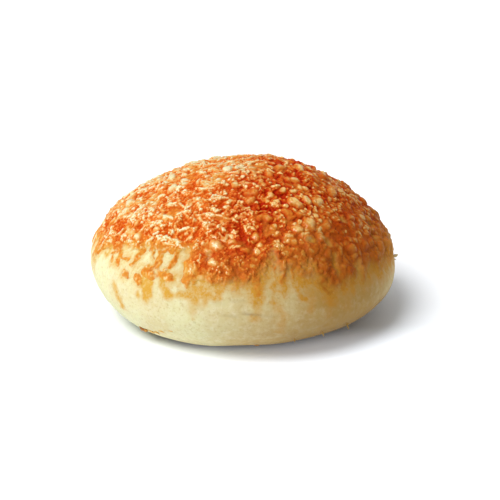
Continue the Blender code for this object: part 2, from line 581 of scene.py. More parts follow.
@dataclass(frozen=True)
class DoughFinish:
    """Pale, matt, lightly floured dough, stained gold by the cheese and brown underneath, with
    painted shade in its pores, in its creases and low on its +X side, and partly in its foot and
    its tanning.
    """

    pale: Colour = (0.725, 0.71, 0.415, 1.0)
    creamy: Colour = (0.73, 0.625, 0.34, 1.0)
    # Tanned dough, which towards +X is partly painted shade.
    tan_and_shade: Colour = (0.38, 0.225, 0.055, 1.0)
    floury: Colour = (0.78, 0.75, 0.56, 1.0)
    amber: Colour = (0.64, 0.35, 0.045, 1.0)
    dark_amber: Colour = (0.43, 0.195, 0.022, 1.0)
    # Brown crust, also painted as shade at the foot, low at +X and in the creases.
    browned_and_shaded: Colour = (0.215, 0.135, 0.05, 1.0)
    pore_shade: Colour = (0.42, 0.27, 0.09, 1.0)
    cloud_size: float = 14.0 * MM
    flour_size: float = 2.2 * MM
    grain_size: float = 0.9 * MM
    fine_size: float = 0.6 * MM
    pore_spacing: float = 3.4 * MM
    bump_depth: float = 0.24 * MM
    roughness: float = 0.66
    fat_gloss: float = 0.2
    specular: float = 0.16
    soak: Translucency = Translucency(0.2, 1.0 * MM, (1.4, 1.0, 0.5))

    def flour(self, bench: Bench) -> Wire:
        """Fine noise: where the flour lies thick."""
        return bench.specks(self.flour_size, 4.0, 0.65)

    def colour(self, bench: Bench, flour: Wire) -> Wire:
        """The dough's colour, which the cheese's finish also has below its thinnest film.

        Creamy clouds lie on the pale dough, then the tanned colour, which towards +X is partly
        painted shade, then flour and fine grain of the tanned colour, and at the end the amber of
        the fat, darker with the tanning, which is mottled as the flour and the grain are.

        Args:
            bench: where the nodes go.
            flour: the noise of the flour.

        Returns:
            The colour, from the measures of stain and of tanning, which is partly painted shade.
        """
        tan_and_shade = bench.measure("tan_and_shade")
        clouds = bench.specks(self.cloud_size)
        grain = bench.specks(self.grain_size, 3.0, 0.6)
        colour = bench.blend(clouds.eased(0.3, 0.7) * 0.8, self.pale, self.creamy)
        colour = bench.blend(tan_and_shade + (clouds - 0.5) * 0.55, colour, self.tan_and_shade)
        colour = bench.blend(flour.eased(0.4, 0.74) * (0.44 - 0.3 * tan_and_shade), colour, self.floury)
        colour = bench.blend(grain.eased(0.5, 0.74) * 0.34, colour, self.tan_and_shade)
        amber = bench.blend(tan_and_shade, self.amber, self.dark_amber)
        mottled = (flour - 0.5) * 1.2 + (grain - 0.5) * 1.6 + 0.96
        return bench.blend(bench.measure("stain") * mottled, colour, amber)

    def make(self) -> bpy.types.Material:
        """Builds the material, which reads the measures of stain, of tanning with its painted
        shade, and of browning with its painted shade.

        Returns:
            The material.
        """
        bench = FinishBench("pale_dough")
        flour = self.flour(bench)
        fine = bench.specks(self.fine_size, 2.0)
        pit = 1.0 - bench.froth(self.pore_spacing).eased(0.05, 0.12)
        colour = self.colour(bench, flour)
        # Painted shade in the pores: each pit is painted darker.
        colour = bench.blend(pit * flour.eased(0.5, 0.6) * 0.5, colour, self.pore_shade)
        # Browning and painted shade: the foot, the +X side low down and the creases are painted
        # darker.
        browned_and_shaded = bench.measure("browned_and_shaded") * (flour * 1.2 + 0.4)
        colour = bench.blend(browned_and_shaded.at_most(1.0), colour, self.browned_and_shaded)
        roughness = self.roughness - bench.measure("stain") * self.fat_gloss
        bench.finish(colour, roughness, flour * 0.5 + fine * 0.22 - pit * 0.5, self.bump_depth)
        bench.set("Specular IOR Level", self.specular)
        self.soak.give(bench)
        return bench.material


@dataclass(frozen=True)
class Bake:
    """The colours of cheese baked to one degree, from its hollows up to its palest tops, partly
    its own colour and partly painted shade in the hollows and painted highlight on the tops.
    """

    hollow_and_shade: Colour
    orange: Colour
    gold: Colour
    pale: Colour

    def colour(self, bench: Bench, top: Wire) -> Wire:
        """The colour by height: each of the four gives way to the next as the height grows, which
        partly paints shade into the hollows and highlight onto the tops.

        Args:
            bench: where the nodes go.
            top: the height in the bake.

        Returns:
            The wire of the colour.
        """
        colour = bench.blend(top.eased(0.08, 0.45), self.hollow_and_shade, self.orange)
        colour = bench.blend(top.eased(0.36, 0.80), colour, self.gold)
        return bench.blend(top.eased(0.70, 1.08), colour, self.pale)


@dataclass(frozen=True)
class CheeseFinish:
    """Grated cheese, melted and baked: red-orange in its hollows, pale on its tops, partly its own
    colour and partly painted shade and painted highlight.
    """

    dough: DoughFinish = field(default_factory=DoughFinish)
    # A lightly baked palette for -X and a darker one for +X and the front, between which the
    # roasting blends; the darker one is partly painted shade.
    light: Bake = Bake(
        hollow_and_shade=(0.56, 0.070, 0.003, 1.0),
        orange=(0.69, 0.165, 0.016, 1.0),
        gold=(0.76, 0.43, 0.13, 1.0),
        pale=(0.82, 0.75, 0.46, 1.0),
    )
    dark: Bake = Bake(
        hollow_and_shade=(0.38, 0.011, 0.0002, 1.0),
        orange=(0.52, 0.048, 0.0012, 1.0),
        gold=(0.66, 0.20, 0.020, 1.0),
        pale=(0.85, 0.56, 0.20, 1.0),
    )
    # A darker burned tint, partly painted shade on the +X side.
    burnt_and_shade: Colour = (0.175, 0.030, 0.0006, 1.0)
    burnt_and_shade_share: float = 0.42
    grit_size: float = 0.7 * MM
    froth_size: float = 0.85 * MM
    bump_depth: float = 0.22 * MM
    roughness: float = 0.34
    specular: float = 0.04
    coat_roughness: float = 0.14
    soak: Translucency = Translucency(0.12, 0.6 * MM, (1.4, 0.6, 0.2))

    def make(self) -> bpy.types.Material:
        """Builds the material, which reads the measures that CheeseCrust gives.

        Its height in the bake, bake plus fine grit and froth, picks the colour, darker in the
        hollows
        and paler on the tops: partly the cheese's own colour, partly painted shade and painted
        highlight. The roasting blend to the darker palette towards +X and the front is partly
        painted shade. Amber film, a darker burned tint that is partly painted shade where the
        dough below is most tanned, and then the dough below show through it, and its tops have a
        thin oily coat.

        Returns:
            The material.
        """
        bench = FinishBench("baked_cheese")
        names = ("bake", "smooth", "cover", "roast_and_shade", "film", "tan_and_shade", "gloss")
        bake, smooth, cover, roast_and_shade, film, tan_and_shade, gloss = (bench.measure(name) for name in names)
        grit = bench.specks(self.grit_size, 3.0, 0.6)
        froth = bench.froth(self.froth_size, 0.3)
        frothy = 1.0 - smooth * 0.6
        # The height, with grit and froth, picks the colour: besides the cheese's own colour,
        # painted shade in the hollows and painted highlight on the tops.
        top = bake + ((grit - 0.5) * 0.45 + (0.45 - froth) * 0.28) * frothy
        light, dark = self.light.colour(bench, top), self.dark.colour(bench, top)
        # The darker palette towards +X and the front is partly roasting and partly painted shade.
        colour = bench.blend(roast_and_shade, light, dark)
        amber = bench.blend(tan_and_shade, self.dough.amber, self.dough.dark_amber)
        colour = bench.blend(film, colour, amber)
        # A darker burned tint where the dough below is most tanned, low at +X: partly painted
        # shade.
        colour = bench.blend(tan_and_shade.eased(0.6, 1.0) * self.burnt_and_shade_share, colour, self.burnt_and_shade)
        under = self.dough.colour(bench, self.dough.flour(bench))
        colour = bench.blend(cover + (grit - 0.5) * cover * (1.0 - cover) * 1.6, under, colour)
        roughness = self.roughness + grit * 0.16 + (1.0 - cover) * 0.2
        bench.finish(colour, roughness, (grit * 0.25 - froth * 0.7) * frothy, self.bump_depth)
        bench.set("Specular IOR Level", self.specular)
        bench.set("Coat Weight", cover * top.eased(0.5, 0.9) * gloss)
        bench.set("Coat Roughness", self.coat_roughness)
        self.soak.give(bench)
        return bench.material


# ---------- Where the cheese lies ----------


@dataclass(frozen=True)
class Band:
    """A band on the bun's skin: the places that it runs through, and its two end widths in mm."""

    path: tuple[tuple[float, float], ...]
    widths: tuple[float, float]
    strength: float = 1.0


def bands(*rows: tuple[float, ...]) -> tuple[Band, ...]:
    """Bands from rows of numbers: azimuth and rise of each place, two widths and a strength."""
    return tuple(Band(tuple(zip(row[:-3:2], row[1:-3:2])), row[-3:-1], row[-1]) for row in rows)


# The lower edge of the sheet, and the runs and islands below it, the gaps in it and the stains
# on the dough. A strength is how plainly a band shows.
EDGE = (
    (-75.0, 3.5), (-74.5, 12.5), (-71.0, 18.0), (-67.5, 23.0), (-61.5, 22.5), (-59.5, 25.5),
    (-55.0, 27.0), (-49.0, 30.5), (-43.5, 29.0), (-43.0, 33.0), (-32.5, 35.0), (-28.5, 35.0),
    (-24.5, 27.0), (-22.5, 18.5), (-17.0, 20.5), (-11.5, 22.0), (-9.0, 21.5), (-2.0, 23.0),
    (5.5, 22.5), (8.0, 27.5), (10.0, 32.0), (12.5, 30.5), (13.0, 24.5), (16.0, 24.0),
    (18.0, 31.0), (22.0, 30.5), (24.0, 26.0), (28.5, 23.0), (31.5, 20.0), (34.5, 16.0),
    (39.5, 18.0), (43.5, 17.5), (49.5, 21.5), (51.5, 17.5), (59.5, 23.0), (63.0, 17.0),
    (72.0, 16.0), (78.5, 12.0), (84.0, 10.0), (90.0, 13.0), (96.0, 9.0), (103.0, 14.0),
    (111.0, 12.0),
)

RUNS = bands(
    (-78.0, 10.5, -75.0, -4.5, 1.2, 0.9, 0.6), (-74.0, 12.0, -69.5, 22.5, 1.2, 1.2, 1.0),
    (-65.5, 19.5, -61.0, 23.0, 0.8, 0.8, 0.7), (-63.5, 18.0, -62.0, 15.5, 1.2, 1.0, 0.8),
    (-66.0, 26.5, -59.5, 22.5, 1.6, 1.2, 1.0), (-59.0, 21.5, -53.0, 22.5, 1.2, 1.2, 0.7),
    (-59.0, 18.5, -57.0, 16.0, 2.0, 1.6, 1.0), (-55.0, 26.0, -49.5, 20.5, 0.9, 0.9, 0.6),
    (-49.0, 29.5, -49.5, 20.5, 2.0, 1.8, 1.0), (-47.5, 18.5, -45.0, 23.0, 1.0, 0.8, 0.6),
    (-51.5, 15.0, -49.5, 11.5, 1.6, 1.5, 1.0), (-48.5, 14.0, -45.5, 16.0, 1.0, 1.0, 0.6),
    (-44.0, 15.0, -42.5, 12.5, 2.5, 2.4, 1.0), (-41.5, 20.5, -38.0, 18.5, 2.8, 3.0, 1.0),
    (-47.5, 36.0, -42.0, 28.0, 2.0, 1.2, 1.0),
    (-33.0, 36.0, -39.5, 32.0, -39.0, 25.5, -39.0, 20.0, 1.8, 1.6, 1.0),
    (-37.5, 31.0, -36.5, 23.0, 1.4, 1.2, 1.0),
    (-33.0, 36.0, -31.0, 29.5, -32.5, 27.0, 1.6, 1.5, 1.0),
    (-34.5, 20.0, -29.5, 20.5, 3.1, 2.7, 1.0), (-34.0, 25.0, -32.5, 22.0, 1.2, 1.2, 1.0),
    (-25.0, 30.5, -23.0, 18.5, 2.7, 2.0, 1.0), (4.0, 31.5, 4.5, 18.0, 4.3, 3.2, 0.8),
    (12.5, 34.5, 12.0, 25.0, 2.0, 1.6, 1.0), (15.5, 34.5, 15.0, 25.0, 3.4, 2.7, 1.0),
    (19.5, 32.0, 19.0, 27.0, 2.7, 2.0, 1.0), (33.0, 31.0, 31.5, 22.5, 32.3, 15.0, 2.7, 2.9, 0.9),
    (56.5, 26.5, 49.5, 8.5, 1.0, 0.8, 0.45),
)

GAPS = bands(
    (-47.5, 30.5, -44.0, 25.0, 1.8, 1.8, 1.0), (-38.0, 30.0, -37.5, 26.0, 0.9, 0.9, 1.0),
    (-35.5, 33.0, -34.0, 28.5, 2.2, 1.8, 1.0),
    (-29.5, 34.5, -27.5, 26.0, -26.0, 18.0, 2.5, 2.9, 1.0),
    (-27.0, 17.5, -23.0, 16.0, 2.2, 1.4, 1.0), (-17.5, 36.5, -16.0, 33.5, 1.8, 1.4, 0.6),
    (26.5, 33.5, 25.5, 29.5, 1.8, 1.4, 0.7), (28.5, 32.0, 28.5, 26.5, 1.8, 1.4, 0.7),
    (40.0, 32.5, 38.0, 26.5, 2.9, 2.2, 0.8), (51.5, 26.5, 47.5, 17.0, 1.8, 1.8, 0.8),
    (58.0, 21.0, 54.0, 14.0, 2.2, 1.8, 0.8),
)

STAINS = bands(
    (-39.5, 15.5, -38.5, 4.0, 4.0, 2.4, 1.0), (-32.0, 17.5, -28.0, 9.0, 2.4, 2.0, 0.85),
    (-28.0, 9.0, -23.5, 11.0, -20.0, 13.0, 1.2, 1.4, 0.75),
    (-20.0, 19.5, -17.5, 8.5, 3.2, 2.0, 0.62), (-16.0, 20.0, -14.0, 11.5, 4.6, 3.2, 0.6),
    (-11.0, 21.0, -9.5, 12.5, 3.6, 2.6, 0.62), (-5.0, 22.0, -2.0, 20.0, 2.4, 2.0, 0.5),
    (4.0, 31.5, 4.5, 13.5, 4.2, 3.0, 0.75), (4.0, 14.0, 5.0, 1.5, 3.2, 2.4, 0.4),
    (5.5, 30.5, 6.0, 15.5, 1.6, 1.4, 1.0), (13.0, 22.0, 13.5, -17.0, 2.6, 2.2, 0.38),
    (11.5, 23.0, 11.5, 13.0, 2.2, 1.8, 0.7), (14.0, 26.0, 14.5, 21.0, 3.6, 2.8, 0.7),
    (23.0, 29.5, 21.0, 22.0, 20.5, 18.5, 21.5, 13.5, 2.4, 1.6, 0.85),
    (23.5, 23.0, 28.0, 22.0, 31.0, 16.5, 2.6, 2.4, 0.8), (25.5, 25.0, 25.0, 11.5, 5.0, 3.6, 0.35),
    (33.0, 31.0, 31.5, 22.5, 32.5, 9.5, 3.2, 3.2, 1.0), (33.5, 20.5, 33.5, 10.0, 3.2, 2.4, 0.85),
    (32.5, 10.5, 32.0, -4.0, 2.9, 1.8, 0.35), (39.5, 28.0, 39.0, 13.0, 3.4, 2.4, 0.85),
    (45.0, 26.0, 43.5, 11.0, 3.4, 2.4, 0.85), (40.5, 13.5, 39.5, 2.0, 4.3, 3.2, 0.3),
    (63.5, 25.5, 61.0, 14.5, 3.2, 2.2, 0.85), (67.0, 21.0, 65.5, 11.5, 2.8, 2.2, 0.8),
    (74.0, 20.0, 72.0, 8.0, 4.0, 2.6, 0.6), (25.0, 7.2, 25.0, 3.8, 1.5, 1.4, 0.45),
    (-54.5, -1.0, -54.0, -6.5, -51.5, -17.0, 1.5, 0.7, 0.8),
    (-18.0, 7.5, -18.0, -4.0, 1.8, 1.2, 0.3), (-68.2, 16.2, -67.8, 15.8, 0.8, 0.7, 0.8),
    (-42.6, 2.3, -42.4, 1.8, 0.8, 0.7, 0.8),
)


@dataclass(frozen=True)
class Spread:
    """What the cheese does at a set of places.

    inside is how far a place lies inside the cheese's outline, negative beyond it; deep is the
    thickness of the cheese without its lumps; cover is how much of the dough's colour it hides;
    film is how golden and clear it has got; stain is how strongly its fat stains the dough; run
    is whether it is a run or an island below the sheet, and opened how far a gap thins it.
    """

    inside: Array
    deep: Array
    cover: Array
    film: Array
    stain: Array
    run: Array
    opened: Array


@dataclass(frozen=True)
class Places:
    """Places on the skin, with the unevenness that the cheese has there.

    azimuth and depth, the way along the outline below the top, are drifted, so that no outline
    laid on them is a clean curve. right rises from 0 towards -X to 1 towards +X, and patchy and
    grainy are a slow and a fine noise.
    """

    points: Array
    azimuth: Array
    depth: Array
    right: Array
    patchy: Array
    grainy: Array

    def widened(self, sizes: tuple[float, float]) -> Array:
        """A size that grows to the right: at -X the first number, in mm, and at +X both."""
        return (sizes[0] + sizes[1] * self.right) * MM


@dataclass
class CheeseCover:
    """Which part of the bun the cheese covers, and how thick it lies there.

    A run or island of at most thin_strength only stains the dough, and a gap of more than
    clear_strength lets the dough show. Beyond left_azimuth the stronger bands are left_swell
    wider than their rows say. drifts are how far and in swells of which width the places move,
    and rim, softness, film_reach and fray are sizes for Places.widened.
    """

    form: BunForm
    belt_rise: float = 25.0
    edge_depth: float = 0.4 * MM
    full_depth: float = 1.25 * MM
    full_reach: float = 14.0 * MM
    run_depth: float = 0.24 * MM
    far: float = 12.0 * MM
    margin: float = 3.0 * MM
    shortest: float = 0.01 * MM
    thin_strength: float = 0.6
    clear_strength: float = 0.9
    left_azimuth: float = -20.0
    left_swell: float = 0.7 * MM
    edge_step: float = 6.5
    drifts: tuple[tuple[float, float], ...] = ((0.9 * MM, 4.5 * MM), (0.6 * MM, 1.6 * MM))
    right_from: float = -24.0 * MM
    right_to: float = 12.0 * MM
    right_growth: float = 2.4 * MM
    patch_size: float = 3.0 * MM
    grain_size: float = 1.3 * MM
    streak_size: float = 1.7 * MM
    streak_squeeze: float = 0.2
    rim: tuple[float, float] = (1.7, 2.7)
    softness: tuple[float, float] = (1.2, 5.6)
    film_reach: tuple[float, float] = (5.0, 7.5)
    fray: tuple[float, float] = (0.7, 1.0)
    gap_thinning: float = 0.45
    gap_clearing: float = 0.85
    hidden_from: float = 118.0
    hidden_to: float = 282.0
    hidden_runs: int = 30
    hidden_islands: int = 18
    hidden_gaps: int = 12
    seed: int = 8
    uneven: Unevenness = Unevenness(23)

    def __post_init__(self) -> None:
        """Adds the edge, runs, islands, gaps and stains of the back to those that show.

        All of them are drawn evenly from ranges that hold those at the front. A run comes down to
        its tip, and its stain goes on below it.
        """
        self.belt = float(self.form.outline(np.array(self.belt_rise))[0])
        draw = np.random.default_rng(self.seed)
        low, high = self.hidden_from, self.hidden_to
        turns = np.arange(low, high, self.edge_step)
        self.edge_path = [*EDGE, *zip(turns, draw.uniform(14.0, 30.0, len(turns)))]
        self.runs, self.gaps, self.stains = list(RUNS), list(GAPS), list(STAINS)
        for _ in range(self.hidden_runs):
            azimuth, tip = draw.uniform(low, high), draw.uniform(4.0, 20.0)
            wide, drift = draw.uniform(2.4, 5.0), draw.uniform(-2.0, 2.0)
            path = ((azimuth, tip + draw.uniform(6.0, 14.0)), (azimuth + drift, tip))
            self.runs.append(Band(path, (wide, wide * 0.6), draw.uniform(0.5, 1.0)))
            fade = ((azimuth, tip + 8.0), (azimuth + drift, tip - draw.uniform(2.0, 12.0)))
            self.stains.append(Band(fade, (wide + 1.0, wide * 0.6), draw.uniform(0.3, 0.8)))
        for _ in range(self.hidden_islands):
            azimuth, rise = draw.uniform(low, high), draw.uniform(9.0, 22.0)
            end = (azimuth + draw.uniform(-1.5, 1.5), rise - draw.uniform(0.5, 2.5))
            wide = draw.uniform(1.2, 2.6)
            widths = (wide, 0.8 * wide)
            self.runs.append(Band(((azimuth, rise), end), widths, draw.uniform(0.6, 1.0)))
        for _ in range(self.hidden_gaps):
            azimuth, rise = draw.uniform(low, high), draw.uniform(18.0, 34.0)
            end = (azimuth + draw.uniform(-3.0, 3.0), rise - draw.uniform(3.0, 9.0))
            wide = draw.uniform(1.2, 2.8)
            self.gaps.append(Band(((azimuth, rise), end), (wide, wide), draw.uniform(0.6, 1.0)))

    def within(self, band: Band, azimuth: Array, depth: Array) -> Array:
        """How far places lie inside a band: half its width there less the distance to its path.

        The skin counts as flat: across is the azimuth times the bun's radius at the belt, and
        down is the depth. The distance to a path is the least of those to its straight parts, each
        |place - start - t * part|, where t is the place's share of the way, held from 0 to 1.

        Args:
            band: the band.
            azimuth: azimuths of the places.
            depth: how far along the outline they lie below the top.

        Returns:
            The distance inside, and -far for places that are further off than that.
        """
        turns, rises = np.array(band.path).T
        at = band.path[0][0]
        across = np.radians(around(azimuth, at)) * self.belt
        nodes = np.stack([np.radians(turns - at) * self.belt, self.form.depth(rises)], axis=-1)
        lengths = np.linalg.norm(np.diff(nodes, axis=0), axis=-1)
        lengths = np.maximum(lengths, self.shortest)
        travelled = np.concatenate([[0.0], np.cumsum(lengths)])
        swollen = band.strength > self.thin_strength and at < self.left_azimuth
        more = self.left_swell if swollen and band.widths[0] > 0.0 else 0.0
        wide, narrow = ((width * MM + more) / 2.0 for width in band.widths)
        margin = wide + (self.far if wide == 0.0 else self.margin)
        best = np.full(azimuth.shape, -self.far)
        for start, end, length, before in zip(nodes[:-1], nodes[1:], lengths, travelled):
            low, high = np.minimum(start, end) - margin, np.maximum(start, end) + margin
            near = (across > low[0]) & (across < high[0]) & (depth > low[1]) & (depth < high[1])
            offset = np.stack([across[near], depth[near]], axis=-1) - start
            share = np.clip(offset @ (end - start) / length**2, 0.0, 1.0)
            away = np.linalg.norm(offset - share[:, None] * (end - start), axis=-1)
            half = wide + (narrow - wide) * (before + share * length) / travelled[-1]
            best[near] = np.maximum(best[near], half - away)
        return best

    def sheet_inside(self, azimuth: Array, depth: Array) -> Array:
        """How far places lie above the sheet's lower edge: the distance to its nearest part.

        Args:
            azimuth: azimuths of the places.
            depth: how far along the outline they lie below the top.

        Returns:
            The distance, which is negative below the edge.
        """
        edge = np.array(self.edge_path)
        above = self.form.depth(np.interp(azimuth, edge[:, 0], edge[:, 1], period=360.0)) > depth
        ring = [*self.edge_path, (self.edge_path[0][0] + 360.0, self.edge_path[0][1])]
        nearest = np.full(azimuth.shape, -self.far)
        for start, end in zip(ring[:-1], ring[1:]):
            line = Band((start, end), (0.0, 0.0))
            nearest = np.maximum(nearest, self.within(line, azimuth, depth))
        return np.where(above, -nearest, nearest)

    def rounded(self, inside: Array, rim: Array, soft: Array) -> Array:
        """Rises from 0 at an outline to 1 at a rim's width inside it.

        Where soft is 0 it rises along a quarter circle, and where it is 1 like a gentle wave.
        """
        share = np.clip(inside / rim, 0.0, 1.0)
        return np.sqrt(share * (2.0 - share)) * (1.0 - soft) + ease(share, 0.0, 1.0) * soft

    def places(self, azimuth: Array, rise: Array, points: Array) -> Places:
        """The places of spread, moved by a slow and a fine drift.

        Args:
            azimuth: azimuths of the places.
            rise: their rises.
            points: the places themselves.

        Returns:
            The drifted places.
        """
        drift = sum(far * self.uneven.drift(points, size) for far, size in self.drifts)
        return Places(
            points=points,
            azimuth=azimuth + np.degrees(drift[..., 0] / self.belt),
            depth=self.form.depth(rise) + drift[..., 1],
            right=ease(points[..., 0], self.right_from, self.right_to),
            patchy=0.5 + 0.5 * self.uneven.rough(points + 1.3, self.patch_size, 2),
            grainy=self.uneven.rough(points + 0.2, self.grain_size, 2),
        )

    def sheet(self, at: Places) -> Spread:
        """The ragged sheet with its gaps, which is crisp to the left and soft to the right.

        Its depth rises from its rim to the middle of the bun, and a film of clear fat follows its
        edge.

        Args:
            at: the places.

        Returns:
            The spread, still without runs and stains.
        """
        ragged = 1.7 * MM * self.uneven.rough(at.points + 0.3, 5.0 * MM, 3)
        ragged = ragged + 1.3 * MM * self.uneven.rough(at.points + 0.6, 1.7 * MM, 2)
        inside = self.sheet_inside(at.azimuth, at.depth) + ragged + self.right_growth * at.right
        opened = np.zeros_like(inside)
        for gap in self.gaps:
            bite = self.within(gap, at.azimuth, at.depth)
            opened = np.maximum(opened, gap.strength * ease(bite, -1.4 * MM, 1.2 * MM))
            inside = np.minimum(inside, -bite) if gap.strength > self.clear_strength else inside
        deep = self.edge_depth * (1.0 - 0.6 * at.right)
        deep = deep + (self.full_depth - deep) * ease(inside, 0.3 * MM, self.full_reach)
        rounded = self.rounded(inside, at.widened(self.rim), at.right)
        deep = deep * rounded * (1.0 - self.gap_thinning * opened)
        softness = at.widened(self.softness)
        cover = ease(inside + 1.4 * MM * at.right * at.grainy, -0.15 * softness, softness)
        cover = cover * (1.0 - self.gap_clearing * opened)
        film = 1.0 - ease(inside, 0.4 * MM, at.widened(self.film_reach))
        film = film * (0.65 + 0.4 * at.right) * (0.5 + 0.8 * at.patchy)
        none = np.zeros_like(inside)
        return Spread(inside, deep, cover, film, stain=none, run=none, opened=opened)

    def with_runs(self, at: Places, sheet: Spread) -> Spread:
        """The sheet with the stronger runs and islands laid over it and its gaps.

        Args:
            at: the places.
            sheet: the spread of the bare sheet.

        Returns:
            The spread, still without stains.
        """
        inside, deep, cover = sheet.inside, sheet.deep, sheet.cover
        film, run = sheet.film, sheet.run
        for band in self.runs:
            if band.strength <= self.thin_strength:
                continue
            within = self.within(band, at.azimuth, at.depth)
            beyond = (inside < 1.5 * MM) * ease(within, 0.0, 0.3 * MM)
            run = np.maximum(run, beyond)
            high = self.run_depth * band.strength * (1.0 - 0.5 * at.right)
            deep = np.maximum(deep, high * ease(within, 0.0, 1.1 * MM))
            frayed = within + 1.0 * MM * at.grainy
            cover = np.maximum(cover, ease(frayed, -0.7 * MM, at.widened(self.fray)))
            film = np.maximum(film, beyond * np.clip(0.25 + 1.1 * (at.patchy - 0.4), 0.0, 0.8))
            inside = np.maximum(inside, within)
        return replace(sheet, inside=inside, deep=deep, cover=cover, film=film, run=run)

    def stained(self, at: Places, spread: Spread) -> Array:
        """How strongly the fat stains the dough: below the cheese, just beyond it and in runs.

        The stains are streaky: their noise is drawn out down the bun.

        Args:
            at: the places.
            spread: the cheese there.

        Returns:
            The strength of the stain, from 0 to 1.
        """
        across = at.azimuth * self.belt * math.pi / 180.0
        stretched = (across, at.depth * self.streak_squeeze, 0.0 * at.depth)
        streaks = self.uneven.rough(np.stack(stretched, axis=-1), self.streak_size, 2)
        streaky = np.clip(0.75 + 0.7 * streaks, 0.15, 1.15)
        inside, right = spread.inside, at.right
        stain = np.maximum.reduce([
            0.9 * ease(inside, -4.5 * MM, 0.8 * MM) * right * streaky,
            0.85 * ease(inside + 0.8 * MM * at.grainy, -2.4 * MM, 0.3 * MM) * streaky,
            0.9 * right * streaky * (inside > 0),
            0.95 * spread.opened * right,
        ])
        blurred = 1.3 * MM * self.uneven.rough(at.points + 0.9, 2.6 * MM, 3)
        thin = [band for band in self.runs if band.strength <= self.thin_strength]
        for band in (*self.stains, *thin):
            within = self.within(band, at.azimuth, at.depth)
            fade = 1.7 * band.strength * ease(within + blurred, -1.5 * MM, 1.2 * MM)
            stain = np.maximum(stain, fade * (0.3 + 0.45 * streaky + 0.35 * at.patchy))
        return np.clip(stain, 0.0, 1.0)

    def spread(self, azimuth: Array, rise: Array, points: Array) -> Spread:
        """Works out the cheese's spread: a sheet with gaps in it, and runs and islands over both.

        Args:
            azimuth: azimuths of the places.
            rise: their rises.
            points: the places themselves, which the noise depends on.

        Returns:
            The spread at each place.
        """
        at = self.places(azimuth, rise, points)
        spread = self.with_runs(at, self.sheet(at))
        return replace(spread, stain=self.stained(at, spread))


# ---------- The dough ----------


def tan_and_shade_share(points: Array) -> Array:
    """How tanned the dough is painted, partly its own colour and partly painted light: palest at
    -X, tanner towards +X as painted shade of the side that gets less light, tanner still low on
    the +X side as painted shade near the floor, and paler at its far end as a painted rim light.

    Args:
        points: places on the skin.

    Returns:
        The share of the tanned colour, with its painted shade and rim light, at each place.
    """
    across, low = points[..., 0], 1.0 - ease(points[..., 2], 3 * MM, 15 * MM)
    share = 0.86 * ease(across, -50 * MM, 38 * MM) + 0.22 * ease(across, 14 * MM, 34 * MM)
    share = share + 0.25 * low * ease(across, -25 * MM, 25 * MM)
    return share - 0.5 * ease(across, 42 * MM, 56 * MM)


CREASE_HALF_HEIGHT = 1.1  # in degrees of rise
CREASES = (  # azimuth, rise and half length in degrees, slope, and depth
    (3.2, 3.0, 4.0, -0.12, 1.0),
    (-4.8, 0.8, 3.2, 0.0, 0.6),
    (-2.2, 12.5, 3.2, 0.1, 0.4),
    (-9.0, 10.0, 3.0, 0.0, 0.3),
    (10.0, 1.5, 3.0, 0.1, 0.35),
)


